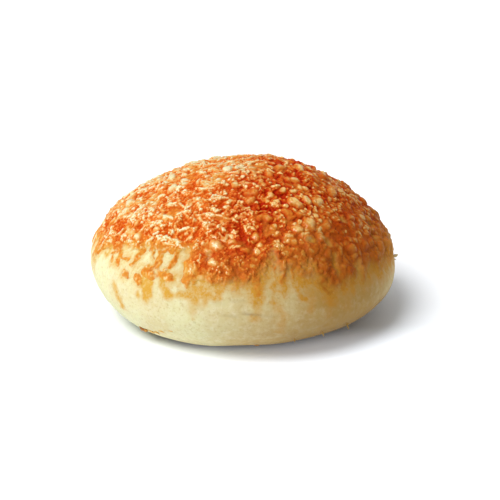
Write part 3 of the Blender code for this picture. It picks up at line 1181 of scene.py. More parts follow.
@dataclass
class Dough:
    """The bun itself, from its top, hidden by the cheese, down to its flat underside."""

    form: BunForm
    cover: CheeseCover
    finish: DoughFinish = field(default_factory=DoughFinish)
    columns: int = 620
    fine_rows: int = 104
    fine_from: float = 44.0
    hidden_rows: int = 6
    base_rings: tuple[float, ...] = (0.995, 0.97, 0.7, 0.35)
    swell: float = 0.28 * MM
    wrinkle: float = 0.07 * MM
    crease: float = 0.32 * MM
    # The foot is brown crust with painted contact shade; shade is also painted low at +X and in
    # the creases.
    foot_height: float = 2.2 * MM
    foot_growth: float = 1.4 * MM
    shade: float = 0.62
    crease_shade: float = 0.4
    uneven: Unevenness = Unevenness(11)

    def rises(self) -> Array:
        """The rise of each row: coarse where the cheese hides it, and fine below.

        Returns:
            The rises, from the top down.
        """
        hidden = np.linspace(90.0, self.fine_from, self.hidden_rows + 1)[1:-1]
        first, last = self.form.depth(np.array([self.fine_from, -90.0]))
        fine = self.form.rise_at(np.linspace(first, last, self.fine_rows))
        return np.concatenate([hidden, fine])

    @staticmethod
    def creased(azimuth: Array, rise: Array) -> Array:
        """How deep the creases at the front are, from 0 to 1: short level folds that fade out.

        Args:
            azimuth: azimuths in degrees.
            rise: rises in degrees.

        Returns:
            The depth at each place.
        """
        depth = np.zeros_like(rise)
        for at, level, half, slope, share in CREASES:
            along = around(azimuth, at)
            down = (rise - level - slope * along) / CREASE_HALF_HEIGHT
            depth = np.maximum(depth, share * np.exp(-((along / half) ** 4)) * np.exp(-(down**2)))
        return depth

    def relief(self, points: Array, azimuth: Array, rise: Array) -> Array:
        """How far the skin stands out: slow swells, fine level wrinkles and the creases.

        Args:
            points: places on the bare form.
            azimuth: their azimuths.
            rise: their rises.

        Returns:
            The distance outwards at each place.
        """
        low = self.uneven.smooth(points, 13 * MM) * self.swell
        fine = self.uneven.rough(points * (1.0, 1.0, 2.2), 3.2 * MM) * self.wrinkle
        crease = -self.crease * self.creased(azimuth, rise)
        return (low + fine + crease) * ease(rise, -88.0, -60.0)

    def browned_and_shaded(self, points: Array, azimuth: Array, rise: Array) -> Array:
        """How brown the skin is painted: its foot, brown crust with painted contact shade, higher
        towards +X; painted shade low at +X, where less light falls; and painted shade in its
        creases.

        Args:
            points: places on the bare form.
            azimuth: their azimuths.
            rise: their rises.

        Returns:
            The share of brown and painted shade, from 0 to 1.
        """
        side, high = points[..., 0], points[..., 2] + self.uneven.rough(points, 5 * MM) * 0.8 * MM
        foot = self.foot_height + self.foot_growth * ease(side, -15 * MM, 25 * MM)
        return np.maximum.reduce([
            1.0 - ease(high, 0.3 * MM, foot),
            self.shade * ease(side, 0.0, 32 * MM) * (1.0 - ease(high, 7 * MM, 18 * MM)),
            self.crease_shade * self.creased(azimuth, rise),
        ])

    def build(self) -> bpy.types.Object:
        """Makes the piece: rows of points round the bun, rings on the base, and both middles.

        Returns:
            The closed piece.
        """
        turns = np.arange(self.columns) * 360.0 / self.columns
        azimuth, rise = np.meshgrid(turns, self.rises())
        points = self.form.surface(azimuth, rise)
        stain = self.cover.spread(azimuth, rise, points).stain
        relief = self.relief(points, azimuth, rise)
        points = points + self.form.outward(azimuth, rise) * relief[..., None]
        browned_and_shaded = self.browned_and_shaded(points, azimuth, rise)
        base = points[-1:] * np.array(self.base_rings)[:, None, None]
        base[..., 2] = 0.0
        points = np.concatenate([points, base])
        rows, flat = len(points), base[..., 0].size
        top = self.form.surface(np.array(0.0), np.array(90.0))
        everything = np.concatenate([points.reshape(-1, 3), [top, (0.0, 0.0, 0.0)]])
        loop = np.arange(self.columns)
        faces = [
            grid_faces(rows, self.columns, closed=True),
            fan_faces(loop, rows * self.columns),
            fan_faces(loop[::-1] + (rows - 1) * self.columns, rows * self.columns + 1),
        ]
        measures = {
            "stain": np.concatenate([stain.ravel(), np.zeros(flat + 2)]),
            "tan_and_shade": tan_and_shade_share(everything),
            "browned_and_shaded": np.concatenate([browned_and_shaded.ravel(), np.ones(flat), [0.0, 1.0]]),
        }
        return make_piece("dough", everything, faces, measures, self.finish.make())


# ---------- The cheese crust ----------


class LumpKind(Enum):
    """What a lump of the crust is, with its height as a share of its width."""

    SHRED = 0.52  # a strand of grated cheese that kept its shape
    CLUMP = 0.42  # a short bit of cheese, melted round
    BLISTER = 0.34  # a smooth bubble blown up under the skin
    WINDOW = 0.0  # a thin, smooth, golden place


@dataclass(frozen=True)
class Lump:
    """One lump: where it lies, its sizes in mm, its heading in degrees and how pale it is.

    along and across are its length and width, a heading of 0 lies level and of 90 up the bun, and
    bend is how strongly its spine curves aside, per metre.
    """

    kind: LumpKind
    azimuth: float
    rise: float
    along: float
    across: float
    heading: float = 0.0
    bend: float = 0.0
    tone: float = 0.5

    @property
    def height(self) -> float:
        """How high it stands, in mm."""
        return self.kind.value * self.across


SHRED_WIDTH, SHRED_TONE = 1.4, 0.7
BLISTERS = (  # azimuth, rise, width in mm, tone, and how far it is stretched level
    (33.0, 61.5, 5.8, 0.6, 1.0), (55.0, 59.0, 4.6, 0.65, 1.2), (42.5, 54.0, 2.8, 0.85, 1.0),
    (35.0, 51.0, 5.4, 0.7, 1.0), (20.0, 46.5, 3.6, 0.7, 1.0), (10.0, 56.0, 4.4, 0.3, 1.2),
    (60.5, 72.0, 3.4, 0.7, 1.0), (100.0, 72.5, 4.0, 0.9, 1.6), (77.0, 58.5, 4.8, 0.35, 1.3),
    (50.5, 34.5, 4.4, 0.6, 1.0), (40.5, 34.5, 2.9, 0.7, 1.0), (5.5, 42.5, 2.4, 0.9, 1.2),
    (4.5, 39.5, 2.6, 0.95, 1.0), (86.5, 43.0, 3.4, 0.3, 1.0), (40.5, 67.5, 2.6, 0.85, 1.4),
    (-21.0, 72.5, 3.4, 0.35, 1.0), (-74.0, 80.0, 4.6, 1.3, 1.0), (-96.5, 59.5, 4.6, 0.75, 1.5),
    (-87.0, 41.0, 3.8, 0.9, 1.3), (-58.5, 54.0, 2.4, 1.0, 1.3), (-49.0, 41.5, 2.6, 0.25, 1.2),
    (-56.0, 34.0, 3.6, 0.5, 1.3), (-14.5, 40.5, 4.8, 0.45, 1.0), (-17.5, 24.0, 2.9, 0.95, 1.0),
    (-28.0, 35.0, 2.2, 1.0, 1.0), (-1.5, 33.5, 1.9, 1.0, 1.0), (2.0, 32.5, 2.4, 0.8, 1.8),
    (-7.0, 28.0, 2.4, 0.9, 1.0), (-11.0, 24.5, 1.5, 1.0, 1.0), (22.0, 37.0, 1.9, 1.0, 1.0),
    (31.0, 44.0, 4.2, 0.6, 1.0), (33.0, 33.0, 2.3, 0.7, 1.0), (31.0, 28.0, 2.3, 0.7, 1.0),
    (29.5, 38.0, 2.3, 0.65, 1.0),
)

WINDOWS = (  # azimuth, rise, width and height in mm, and tone
    (11.5, 37.5, 3.4, 5.4, 0.75), (31.5, 43.0, 4.4, 3.4, 0.75), (40.0, 40.5, 3.4, 4.4, 0.7),
    (59.0, 47.5, 3.2, 4.6, 0.6), (-97.0, 38.0, 4.0, 7.0, 0.6), (72.5, 33.0, 3.0, 4.4, 0.6),
    (79.0, 37.0, 2.6, 3.6, 0.6),
)

SHREDS = (  # azimuth, rise, length in mm, heading, bend and tone
    (-44.2, 54.0, 6.2, 80.0, 20.0, 1.0), (-50.0, 48.0, 7.0, 5.0, -35.0, 0.95),
    (-35.0, 37.5, 9.5, 0.0, -20.0, 1.0), (-28.0, 64.5, 7.5, 20.0, 10.0, 0.8),
    (14.5, 66.5, 5.0, 25.0, 0.0, 0.95), (-73.5, 18.0, 4.0, 75.0, 40.0, 1.0),
    (-24.0, 42.0, 3.4, 35.0, 60.0, 1.0), (-5.5, 41.0, 3.4, 25.0, 0.0, 1.0),
    (-13.5, 21.5, 3.4, -20.0, 0.0, 1.0), (14.0, 43.2, 2.8, 35.0, 0.0, 0.95),
    (18.0, 25.2, 3.8, 60.0, 0.0, 0.8), (25.0, 16.8, 4.0, -75.0, 0.0, 0.75),
)


def seen_lumps() -> list[Lump]:
    """The lumps that are listed one by one: a blister is stretched level, a window up the bun.

    Returns:
        The lumps, in the order in which they are stamped.
    """
    blisters = [
        Lump(LumpKind.BLISTER, azimuth, rise, across * stretch, across, tone=tone)
        for azimuth, rise, across, tone, stretch in BLISTERS
    ]
    windows = [
        Lump(LumpKind.WINDOW, azimuth, rise, tall, across, heading=90.0, tone=tone)
        for azimuth, rise, across, tall, tone in WINDOWS
    ]
    shreds = [
        Lump(LumpKind.SHRED, azimuth, rise, along, SHRED_WIDTH, heading, bend, SHRED_TONE * tone)
        for azimuth, rise, along, heading, bend, tone in SHREDS
    ]
    return [*blisters, *windows, *shreds]


CURDS = ((2.1, 0.75, 0.5), (3.4, 0.35, 0.42))  # size in mm, share of the cells, height
LEAST_STEP = 0.17  # mm from one point of the crust's grid to the next, where they lie closest
TINY = 1e-12  # what a length is divided by at least


@dataclass
class CheeseCrust:
    """The melted sheet with its shreds, clumps, blisters and froth, in four closed quarters."""

    dough: Dough
    finish: CheeseFinish = field(default_factory=CheeseFinish)
    cells: int = 620
    border_rise: float = -8.0
    under: float = 1.6 * MM
    dip: float = 0.8 * MM
    shreds: int = 190
    clumps: int = 130
    blisters: int = 240
    small_bead: float = 0.85 * MM
    large_bead: float = 1.25 * MM
    drifts: tuple[tuple[float, float], ...] = ((0.55 * MM, 2.6 * MM), (0.22 * MM, 1.0 * MM))
    shred_ragged: tuple[float, float] = (0.35, 1.4 * MM)
    round_ragged: tuple[float, float] = (0.22, 1.7 * MM)
    pressed_relief: float = 0.3
    pressed_crown: float = 0.35
    seed: int = 7
    uneven: Unevenness = Unevenness(41)

    def __post_init__(self) -> None:
        """Lays the grid on the bun and starts its relief from the bare sheet."""
        side = np.linspace(-1.0, 1.0, self.cells + 1)
        flat_x, flat_y = np.meshgrid(side, side, indexing="ij")
        self.form = self.dough.form
        self.azimuth, reach = self.rounded_off(flat_x, flat_y)
        self.rise = self.form.rise_at(reach * self.form.depth(np.array(self.border_rise)))
        self.skin = self.form.surface(self.azimuth, self.rise)
        self.outward = self.form.outward(self.azimuth, self.rise)
        self.spread = self.dough.cover.spread(self.azimuth, self.rise, self.skin)
        self.bent = self.skin
        for far, size in self.drifts:
            self.bent = self.bent + far * self.uneven.drift(self.skin, size)
        self.side = self.skin[..., 0] / self.form.belly_radius
        melted = ease(self.side, -0.1, 0.4) * (1.0 - ease(self.rise, 40.0, 62.0))
        self.melted = melted * (0.55 + 0.45 * self.uneven.smooth(self.skin, 7 * MM))
        blank = np.zeros((5, *self.rise.shape))
        self.relief, self.crown, self.tone, self.smooth, self.thin = blank

    @staticmethod
    def rounded_off(flat_x: Array, flat_y: Array) -> tuple[Array, Array]:
        """A square of half width 1 made a disc: each square ring becomes an even circle.

        Args:
            flat_x: first coordinates in the square.
            flat_y: second coordinates in the square.

        Returns:
            Azimuth in degrees, and distance from the middle.
        """
        reach = np.maximum(np.abs(flat_x), np.abs(flat_y))
        wide = np.abs(flat_x) >= np.abs(flat_y)
        with np.errstate(divide="ignore", invalid="ignore"):
            sideways = 45.0 * flat_y / flat_x + np.where(flat_x > 0, 0.0, 180.0)
            upward = 90.0 - 45.0 * flat_x / flat_y + np.where(flat_y > 0, 0.0, 180.0)
        turn = np.where(reach == 0, 0.0, np.where(wide, sideways, upward))
        return (turn + 90.0) % 360.0, reach

    def nearest(self, azimuth: float, rise: float) -> tuple[int, int]:
        """Row and column of the grid point closest to a place: the rounding-off undone.

        Args:
            azimuth: the place's azimuth.
            rise: its rise.

        Returns:
            Both numbers, held inside the grid.
        """
        depth, border = self.form.depth(np.array([rise, self.border_rise]))
        reach = float(depth / border)
        turn = (azimuth - 45.0) % 360.0
        quarter, share = int(turn // 90.0) % 4, (turn % 90.0 - 45.0) / 45.0
        across = share * reach
        flat = ((reach, across), (-across, reach), (-reach, -across), (across, -reach))[quarter]
        half = self.cells / 2
        row, column = (int(np.clip(round((value + 1.0) * half), 0, self.cells)) for value in flat)
        return row, column

    def stamp(self, lump: Lump) -> None:
        """Raises the relief over one lump, keeping whatever stands higher.

        Near the lump the bun is taken as flat: along and across are a point's offsets in the
        tangent plane, turned by the heading and bent by a parabola, and the points themselves are
        drifted, so that no lump is a clean shape. Its height falls from its spine or middle as
        sqrt(1 - distance^2). A blister presses down the froth round it, which is coloured darker
        there, as every hollow is, partly as painted shade, and a window only thins and smooths
        what it covers.

        Args:
            lump: the lump.
        """
        row, column = self.nearest(lump.azimuth, lump.rise)
        reach = int((max(lump.along, lump.across) / 2 + 1.0) / LEAST_STEP) + 2
        near = (
            slice(max(row - reach, 0), row + reach + 1),
            slice(max(column - reach, 0), column + reach + 1),
        )
        outward = self.outward[row, column]
        level = np.cross((0.0, 0.0, 1.0), outward)
        level /= max(float(np.linalg.norm(level)), TINY)
        upward = np.cross(outward, level)
        turn = math.radians(lump.heading)
        ahead = level * math.cos(turn) + upward * math.sin(turn)
        aside = np.cross(outward, ahead)
        offset = (self.bent[near] - self.bent[row, column]) / MM
        along, across = offset @ ahead, offset @ aside
        half = lump.across / 2
        if lump.kind is LumpKind.SHRED:
            across = across - lump.bend * MM * along**2
            beyond = np.maximum(np.abs(along) - (lump.along / 2 - half), 0.0)
            distance = np.hypot(beyond, across) / half
            ragged, size = self.shred_ragged
        else:
            distance = np.hypot(along / (lump.along / 2), across / half)
            ragged, size = self.round_ragged
        distance = distance + ragged * self.uneven.smooth(self.skin[near], size)
        if lump.kind is LumpKind.WINDOW:
            share = 1.0 - ease(distance, 0.1, 1.35)
            self.thin[near] = np.maximum(self.thin[near], share)
            self.smooth[near] = np.maximum(self.smooth[near], share)
            return
        bubble = lump.kind is LumpKind.BLISTER
        if bubble:
            pressed = 1.0 - ease(distance, 0.9, 1.4)
            self.relief[near] = self.relief[near] * (1.0 - self.pressed_relief * pressed)
            self.crown[near] = self.crown[near] * (1.0 - self.pressed_crown * pressed)
        crown = np.sqrt(np.clip(1.0 - distance**2, 0.0, 1.0))
        height = lump.height * MM * crown
        higher = height > self.relief[near]
        self.relief[near] = np.where(higher, height, self.relief[near])
        foot, top = (0.2, 0.55) if bubble else (0.1, 0.8)
        tone = 0.36 + 0.42 * lump.tone if bubble else lump.tone
        self.crown[near] = np.where(higher, foot + top * crown**2, self.crown[near])
        self.tone[near] = np.where(higher, tone, self.tone[near])
        slick = 0.6 if bubble else 0.3
        self.smooth[near] = np.where(higher, slick * ease(crown, 0.1, 0.5), self.smooth[near])

    def frothed(self) -> None:
        """Fills the crust with curds of two sizes and puts fine beads on them.

        The points are drifted by half a curd, which draws the curds out into each other. The
        beads are coarser towards +X. Where the cheese has melted, and in calm patches, the curds
        are lower and the beads nearly gone. Patches and clusters of grains bake paler than others.
        """
        patches = 0.5 + 0.5 * self.uneven.smooth(self.skin, 10 * MM)
        clusters = self.uneven.rough(self.skin + 1.1, 3.4 * MM, 2)
        calm = ease(self.uneven.rough(self.skin + 0.7, 5.5 * MM, 2), 0.15, 0.45)
        self.melted = np.maximum(self.melted, 0.6 * calm)
        for size, share, lift in CURDS:
            bent = self.skin + 0.45 * size * MM * self.uneven.drift(self.skin, 1.6 * size * MM)
            curd, number = self.uneven.curds(bent, size * MM, share)
            height = lift * size * MM * curd
            higher = height > self.relief
            self.relief = np.where(higher, height, self.relief)
            self.crown = np.where(higher, np.clip(curd / 0.7, 0.0, 1.0) ** 1.6, self.crown)
            self.tone = np.where(higher, number, self.tone)
        bent = self.skin + 0.3 * MM * self.uneven.drift(self.skin, 1.3 * MM)
        small, number = self.uneven.curds(bent, self.small_bead)
        large, _ = self.uneven.curds(bent + 0.5 * MM, self.large_bead)
        coarse = ease(self.side + 0.4 * self.uneven.smooth(self.skin, 8 * MM), -0.35, 0.25)
        bead = small + (large - small) * coarse
        fine = 1.0 - 0.9 * self.melted
        grown = (0.75 + 0.3 * coarse) * MM
        self.relief = self.relief * (1.0 - 0.3 * self.melted) + grown * bead * fine
        top = np.clip(bead / 0.64, 0.0, 1.0) ** 2.0
        self.crown = 0.42 * self.crown + 0.58 * (top * fine + 0.3 * (1.0 - fine))
        self.tone = 0.4 * self.tone + 0.3 * number * fine + 0.15 * (1.0 - fine)
        varied = 0.26 + 0.3 * ease(self.side, -0.3, 0.3) + 0.25 * ease(self.rise, 46.0, 62.0)
        self.tone = self.tone + 0.4 * patches - 0.05 + varied * clusters
        self.smooth = np.maximum(self.smooth, 0.9 * self.melted)

    @staticmethod
    def softened(values: Array, times: int) -> Array:
        """Values on the grid, each mixed with its neighbours as 1 : 2 : 1, a number of times.

        Args:
            values: numbers on the grid.
            times: how often they are mixed.

        Returns:
            The softer numbers.
        """
        for _ in range(times):
            for axis in (0, 1):
                before, after = np.roll(values, 1, axis), np.roll(values, -1, axis)
                values = 0.25 * before + 0.5 * values + 0.25 * after
        return values

    def scattered(self, kind: LumpKind, count: int) -> list[Lump]:
        """Lumps of one kind at random places of the sheet, evenly over its area.

        Shreds lie mostly towards -X, and blisters mostly towards +X. Sizes are drawn in mm.

        Args:
            kind: what the lumps are.
            count: how many there are.

        Returns:
            The lumps, in the order in which they are drawn.
        """
        draw = np.random.default_rng([self.seed, list(LumpKind).index(kind)])
        radius, _ = self.form.outline(self.rise)
        area = radius / np.maximum(self.form.depth(self.rise), 0.2 * MM)
        weight = np.where(self.spread.deep > 0.6 * MM, area, 0.0)
        if kind is LumpKind.BLISTER:
            weight = weight * (0.1 + ease(self.side, -0.3, 0.5))
        elif kind is LumpKind.SHRED:
            weight = weight * (1.0 - 0.85 * ease(self.side, -0.2, 0.4))
        lumps = []
        for place in draw.choice(weight.size, size=count, p=(weight / weight.sum()).ravel()):
            at = (float(self.azimuth.flat[place]), float(self.rise.flat[place]))
            tone = float(np.clip(draw.beta(1.5, 1.7), 0.0, 1.0))
            heading, bend = draw.uniform(0.0, 180.0), draw.normal(0.0, 35.0)
            if kind is LumpKind.SHRED:
                along, across = draw.uniform(3.0, 8.5), draw.uniform(1.1, 1.9)
                tone = 0.2 + 0.42 * tone
            elif kind is LumpKind.CLUMP:
                across = draw.uniform(1.2, 2.2)
                along = across * draw.uniform(1.0, 1.8)
            else:
                across = float(np.clip(draw.lognormal(0.9, 0.32), 1.5, 4.6))
                tone = 0.9 * tone
                along = across * draw.uniform(1.0, 1.3)
            lumps.append(Lump(kind, *at, along, across, heading, bend, tone))
        return lumps

    def lumpy(self) -> None:
        """Froths the crust, stamps every lump on it and works out how baked each point looks, from
        its tone and its height, whose share partly paints shade into the hollows and highlight
        onto the tops.
        """
        self.frothed()
        froth, crown = self.relief.copy(), self.crown.copy()
        for kind, count in (
            (LumpKind.CLUMP, self.clumps),
            (LumpKind.SHRED, self.shreds),
            (LumpKind.BLISTER, self.blisters),
        ):
            for lump in self.scattered(kind, count):
                self.stamp(lump)
        for lump in seen_lumps():
            self.stamp(lump)
        raised = ease(self.relief - froth, 0.0, 0.15 * MM)
        rough = raised * (1.0 - self.smooth)
        self.relief += 0.35 * froth * rough
        self.crown = self.crown + 0.6 * (crown - self.crown) * rough
        fused = np.clip(0.12 + self.melted, 0.0, 1.0)
        self.relief += (self.softened(self.relief, 4) - self.relief) * fused
        # The height share of the bake partly paints shade into the hollows and highlight onto the
        # tops.
        bake = (self.crown + 0.12) * (0.5 + self.tone)
        low, high = np.percentile(bake[self.spread.deep > 0.5 * MM], (4.0, 96.0))
        self.bake = np.clip((bake - low) / (high - low), 0.0, 1.0)

    def raised(self) -> tuple[Array, Array]:
        """The skin with the sheet and its relief on it, and how fully the relief stands there.

        The height is the sheet's depth, plus slow swells and the lumps, both of which grow with
        the way in from the sheet's edge, plus the dough's own relief. Beyond its edge the sheet
        dips into the dough.

        Returns:
            The points, and a share from 0 to 1 for each.
        """
        spread = self.spread
        slow = 0.35 * MM * self.uneven.smooth(self.skin, 9 * MM)
        swell = 0.5 + 0.35 * ease(self.side, 0.1, 0.6)
        slow = slow + swell * MM * self.uneven.rough(self.skin, 4.5 * MM, 2)
        reach = (4.5 + 4.0 * ease(self.side, 0.1, 0.5)) * MM
        full = ease(spread.inside, -0.5 * MM, reach) * ease(spread.deep, 0.05 * MM, 0.45 * MM)
        least = 0.12 + 0.16 * spread.run
        lumps = (least + (1.0 - least) * full) * self.relief
        lumps = lumps * (1.0 - 0.8 * self.thin) * (1.0 - 0.6 * spread.opened)
        lumps = lumps * (spread.inside > 0) * ease(spread.deep, 0.0, 0.3 * MM)
        height = (spread.deep + slow * full + lumps) * (1.0 - 0.35 * self.thin)
        height = np.where(spread.inside > 0, height, np.maximum(spread.inside, -self.dip))
        height = height + self.dough.relief(self.skin, self.azimuth, self.rise)
        return self.skin + self.outward * height[..., None], full

    def measures(self, full: Array) -> dict[str, Array]:
        """What the material reads on each point.

        The cheese is paler towards -X and darker towards +X and the front, partly roasted and
        partly painted shade. It bakes darker at its thin edge, darker and more evenly in the
        golden zone low in front and at +X, and speckled in its runs. The film is the strongest of
        the sheet's own, the melted hollows', the windows', the blisters', the +X side's, its rim's
        and the golden zone's.

        Args:
            full: how fully the relief stands.

        Returns:
            Each measure by name.
        """
        spread, side, rise = self.spread, self.side, self.rise
        patch = 0.5 + 0.5 * self.uneven.smooth(self.skin, 13 * MM)
        # facing grows towards +X and the front, where the cheese is painted darker, partly as
        # shade.
        facing = 1.3 * side - 0.45 * self.skin[..., 1] / self.form.belly_radius
        bake = self.bake + 0.14 * (1.0 - ease(facing, -0.2, 0.35))
        bake = bake + 0.12 * ease(side, 0.1, 0.45) * ease(rise, 25.0, 45.0)
        bake = bake - 0.22 * (1.0 - full) * (1.0 - spread.run)
        level = rise - 7.0 * ease(side, 0.1, 0.3) * (1.0 - ease(side, 0.5, 0.7))
        golden = ease(side, -0.35, -0.05) * (1.0 - ease(level, 28.0, 44.0))
        bake = bake - golden * (0.10 + 0.26 * (bake - 0.4))
        speckled = 0.5 * self.uneven.rough(self.skin + 0.4, 0.9 * MM, 1)
        bake = bake + (0.22 + 0.35 * self.bake + speckled - bake) * spread.run
        rim = ease(side, 0.70, 0.98) * (1.0 - ease(rise + 8.0 * patch, 24.0, 46.0))
        window_stain = (0.25 + 0.5 * ease(side, -0.5, 0.1)) * self.thin
        film = np.maximum.reduce([
            spread.film * (1.0 - 0.6 * self.crown),
            0.6 * self.melted * (1.0 - self.crown),
            0.6 * self.thin,
            0.3 * self.smooth * self.crown,
            0.4 * ease(side, 0.62, 0.96),
            0.85 * rim * (0.6 + 0.6 * patch),
            (0.32 + 0.14 * ease(side, 0.15, 0.45)) * golden,
        ])
        return {
            "bake": bake,
            "smooth": np.clip(self.smooth + 0.6 * (1.0 - full), 0.0, 1.0),
            "film": film,
            "roast_and_shade": np.clip(ease(facing, -0.2, 0.4) * (0.8 + 0.35 * patch), 0.0, 1.0),
            "cover": spread.cover * (1.0 - 0.55 * self.thin) * (1.0 - 0.3 * rim),
            "stain": np.maximum(spread.stain, window_stain),
            # The tanning below, partly painted shade, also darkens the amber and the burned tint.
            "tan_and_shade": tan_and_shade_share(self.skin) * (1.0 - 0.2 * ease(rise, 34.0, 54.0)),
            "gloss": 1.0 - 0.75 * ease(side, 0.3, 0.75),
        }

    def build(self) -> list[bpy.types.Object]:
        """Makes the four quarters, whose shading normals agree along their seams.

        Returns:
            The quarters at the front left, back left, front right and back right.
        """
        self.lumpy()
        points, full = self.raised()
        measures = self.measures(full)
        normals = np.cross(np.gradient(points, axis=0), np.gradient(points, axis=1))
        normals /= np.maximum(length_of(normals), TINY)
        material = self.finish.make()
        half = self.cells // 2
        quarters = []
        for across, low_x in (("left", 0), ("right", half)):
            for along, low_y in (("front", 0), ("back", half)):
                part = (slice(low_x, low_x + half + 1), slice(low_y, low_y + half + 1))
                cut = {name: values[part] for name, values in measures.items()}
                name = f"cheese_crust_{along}_{across}"
                piece = self.quarter(name, points[part], normals[part], part, cut, material)
                quarters.append(piece)
        return quarters

    def quarter(
        self,
        name: str,
        points: Array,
        normals: Array,
        part: tuple[slice, slice],
        measures: dict[str, Array],
        material: bpy.types.Material,
    ) -> bpy.types.Object:
        """Closes one quarter with a rim under its border and a shallow fan inside the dough.

        Args:
            name: the piece's name.
            points: the quarter's raised skin, as a square grid.
            normals: its shading normals.
            part: the rows and columns of the whole grid that it covers.
            measures: what the material reads.
            material: the finish.

        Returns:
            The closed piece.
        """
        side = points.shape[0]
        numbers = np.arange(side * side).reshape(side, side)
        border = [numbers[0, :-1], numbers[:-1, -1], numbers[-1, :0:-1], numbers[:0:-1, 0]]
        loop = np.concatenate(border)
        skin, outward = self.skin[part].reshape(-1, 3), self.outward[part].reshape(-1, 3)
        rim = skin[loop] - outward[loop] * self.under
        middle = numbers[side // 2, side // 2]
        deep = skin[middle] - outward[middle] * 2.0 * self.under
        all_points = np.concatenate([points.reshape(-1, 3), rim, [deep]])
        all_normals = np.concatenate([normals.reshape(-1, 3), -outward[loop], [-outward[middle]]])
        low = np.arange(len(loop)) + side * side
        skirt = np.stack([loop, np.roll(loop, -1), np.roll(low, -1), low], axis=-1)
        faces = [grid_faces(side, side, closed=False), skirt, fan_faces(low, len(all_points) - 1)]
        spare = np.zeros(len(all_points) - side * side)
        filled = {key: np.append(values.ravel(), spare) for key, values in measures.items()}
        return make_piece(name, all_points, faces, filled, material, all_normals)


# ---------- Scraps ----------


@dataclass(frozen=True)
class ScrapFinish:
    """Crisp crumbs of cheese that ran down to the tray: brown, and orange where they are thin."""

    brown: Colour = (0.30, 0.085, 0.012, 1.0)
    orange: Colour = (0.70, 0.40, 0.10, 1.0)
    grit_size: float = 0.5 * MM
    bump_depth: float = 0.15 * MM
    specular: float = 0.2

    def make(self) -> bpy.types.Material:
        """Builds the material, which reads the measure bake.

        Returns:
            The material.
        """
        bench = FinishBench("crisp_crumb")
        grit = bench.specks(self.grit_size, 3.0, 0.6)
        colour = bench.blend(bench.measure("bake") + (grit - 0.5) * 0.8, self.brown, self.orange)
        bench.finish(colour, 0.45 + grit * 0.2, grit, self.bump_depth)
        bench.set("Specular IOR Level", self.specular)
        return bench.material


@dataclass(frozen=True)
class Scraps:
    """Small loose ends of one kind: uneven, tapered bits that lie on the skin or stand off it.

    Each row of places has the azimuth and rise of a scrap, its length, width and thickness in mm,
    its heading from level to up the bun, how far it stands up off the skin, in degrees, and its
    tone.
    """

    name: str
    places: tuple[tuple[float, ...], ...]
    rows: int = 11
    columns: int = 10
    uneven: Unevenness = Unevenness(77)

    def placed(self, form: BunForm) -> Array:
        """The points of every scrap, by scrap, row and column.

        A scrap is a ball squeezed to its three sizes, whose far half tapers off, and noise makes
        its outline ragged. It lies along its heading, turned up from the skin by its stand, and
        none of it goes below the floor.

        Args:
            form: the bun that they are on.

        Returns:
            The points.
        """
        azimuth, rise, *sizes, heading, stand, _ = np.array(self.places).T[:, :, None, None]
        long, wide, thick = (size * MM / 2.0 for size in sizes)
        spin = np.arange(self.columns) * 2.0 * math.pi / self.columns
        slide = np.linspace(0.0, math.pi, self.rows)
        slide, spin = np.meshgrid(slide, spin, indexing="ij")
        taper = 1.0 - 0.55 * ease(-np.cos(slide), -0.2, 1.0)
        outward = form.outward(azimuth, rise)
        level = np.cross((0.0, 0.0, 1.0), outward)
        level /= length_of(level)
        turn, lift = np.radians(heading)[..., None], np.radians(stand)[..., None]
        flat = level * np.cos(turn) + np.cross(outward, level) * np.sin(turn)
        along = flat * np.cos(lift) + outward * np.sin(lift)
        off = outward * np.cos(lift) - flat * np.sin(lift)
        ball = (
            (-np.cos(slide) * long, along),
            (np.sin(slide) * np.cos(spin) * taper * wide, np.cross(outward, flat)),
            (np.sin(slide) * np.sin(spin) * taper * thick, off),
        )
        points = sum(reach[..., None] * direction for reach, direction in ball)
        middle = form.surface(azimuth, rise)
        ragged = 1.0 + 0.45 * self.uneven.rough(points + middle, 0.7 * MM, 2)[..., None]
        points = points * ragged + middle + along * long[..., None] * np.sin(lift)
        points[..., 2] = np.maximum(points[..., 2], 0.05 * MM)
        return points

    def build(self, form: BunForm, material: bpy.types.Material) -> bpy.types.Object:
        """Makes the piece, each scrap closed by a fan of faces at both ends.

        Args:
            form: the bun that the scraps are on.
            material: their finish.

        Returns:
            One mesh of closed scraps.
        """
        points = self.placed(form)
        count = len(self.places)
        tips = points[:, (0, -1), 0]
        rings = points[:, 1:-1].reshape(count, -1, 3)
        inner = (self.rows - 2) * self.columns
        loop = np.arange(self.columns)
        sides = grid_faces(self.rows - 2, self.columns, closed=True)[:, ::-1]
        near, far = fan_faces(loop[::-1], inner), fan_faces(loop + inner - self.columns, inner + 1)
        ends = np.concatenate([near, far])
        starts = np.arange(count)[:, None, None] * (inner + 2)
        everything = np.concatenate([rings, tips], axis=1).reshape(-1, 3)
        faces = [(part[None] + starts).reshape(-1, part.shape[1]) for part in (sides, ends)]
        tones = np.repeat([place[-1] for place in self.places], inner + 2)
        measures = {"bake": tones, "tan_and_shade": tan_and_shade_share(everything), "stain": 0.5 * tones}
        return make_piece(self.name, everything, faces, measures, material)


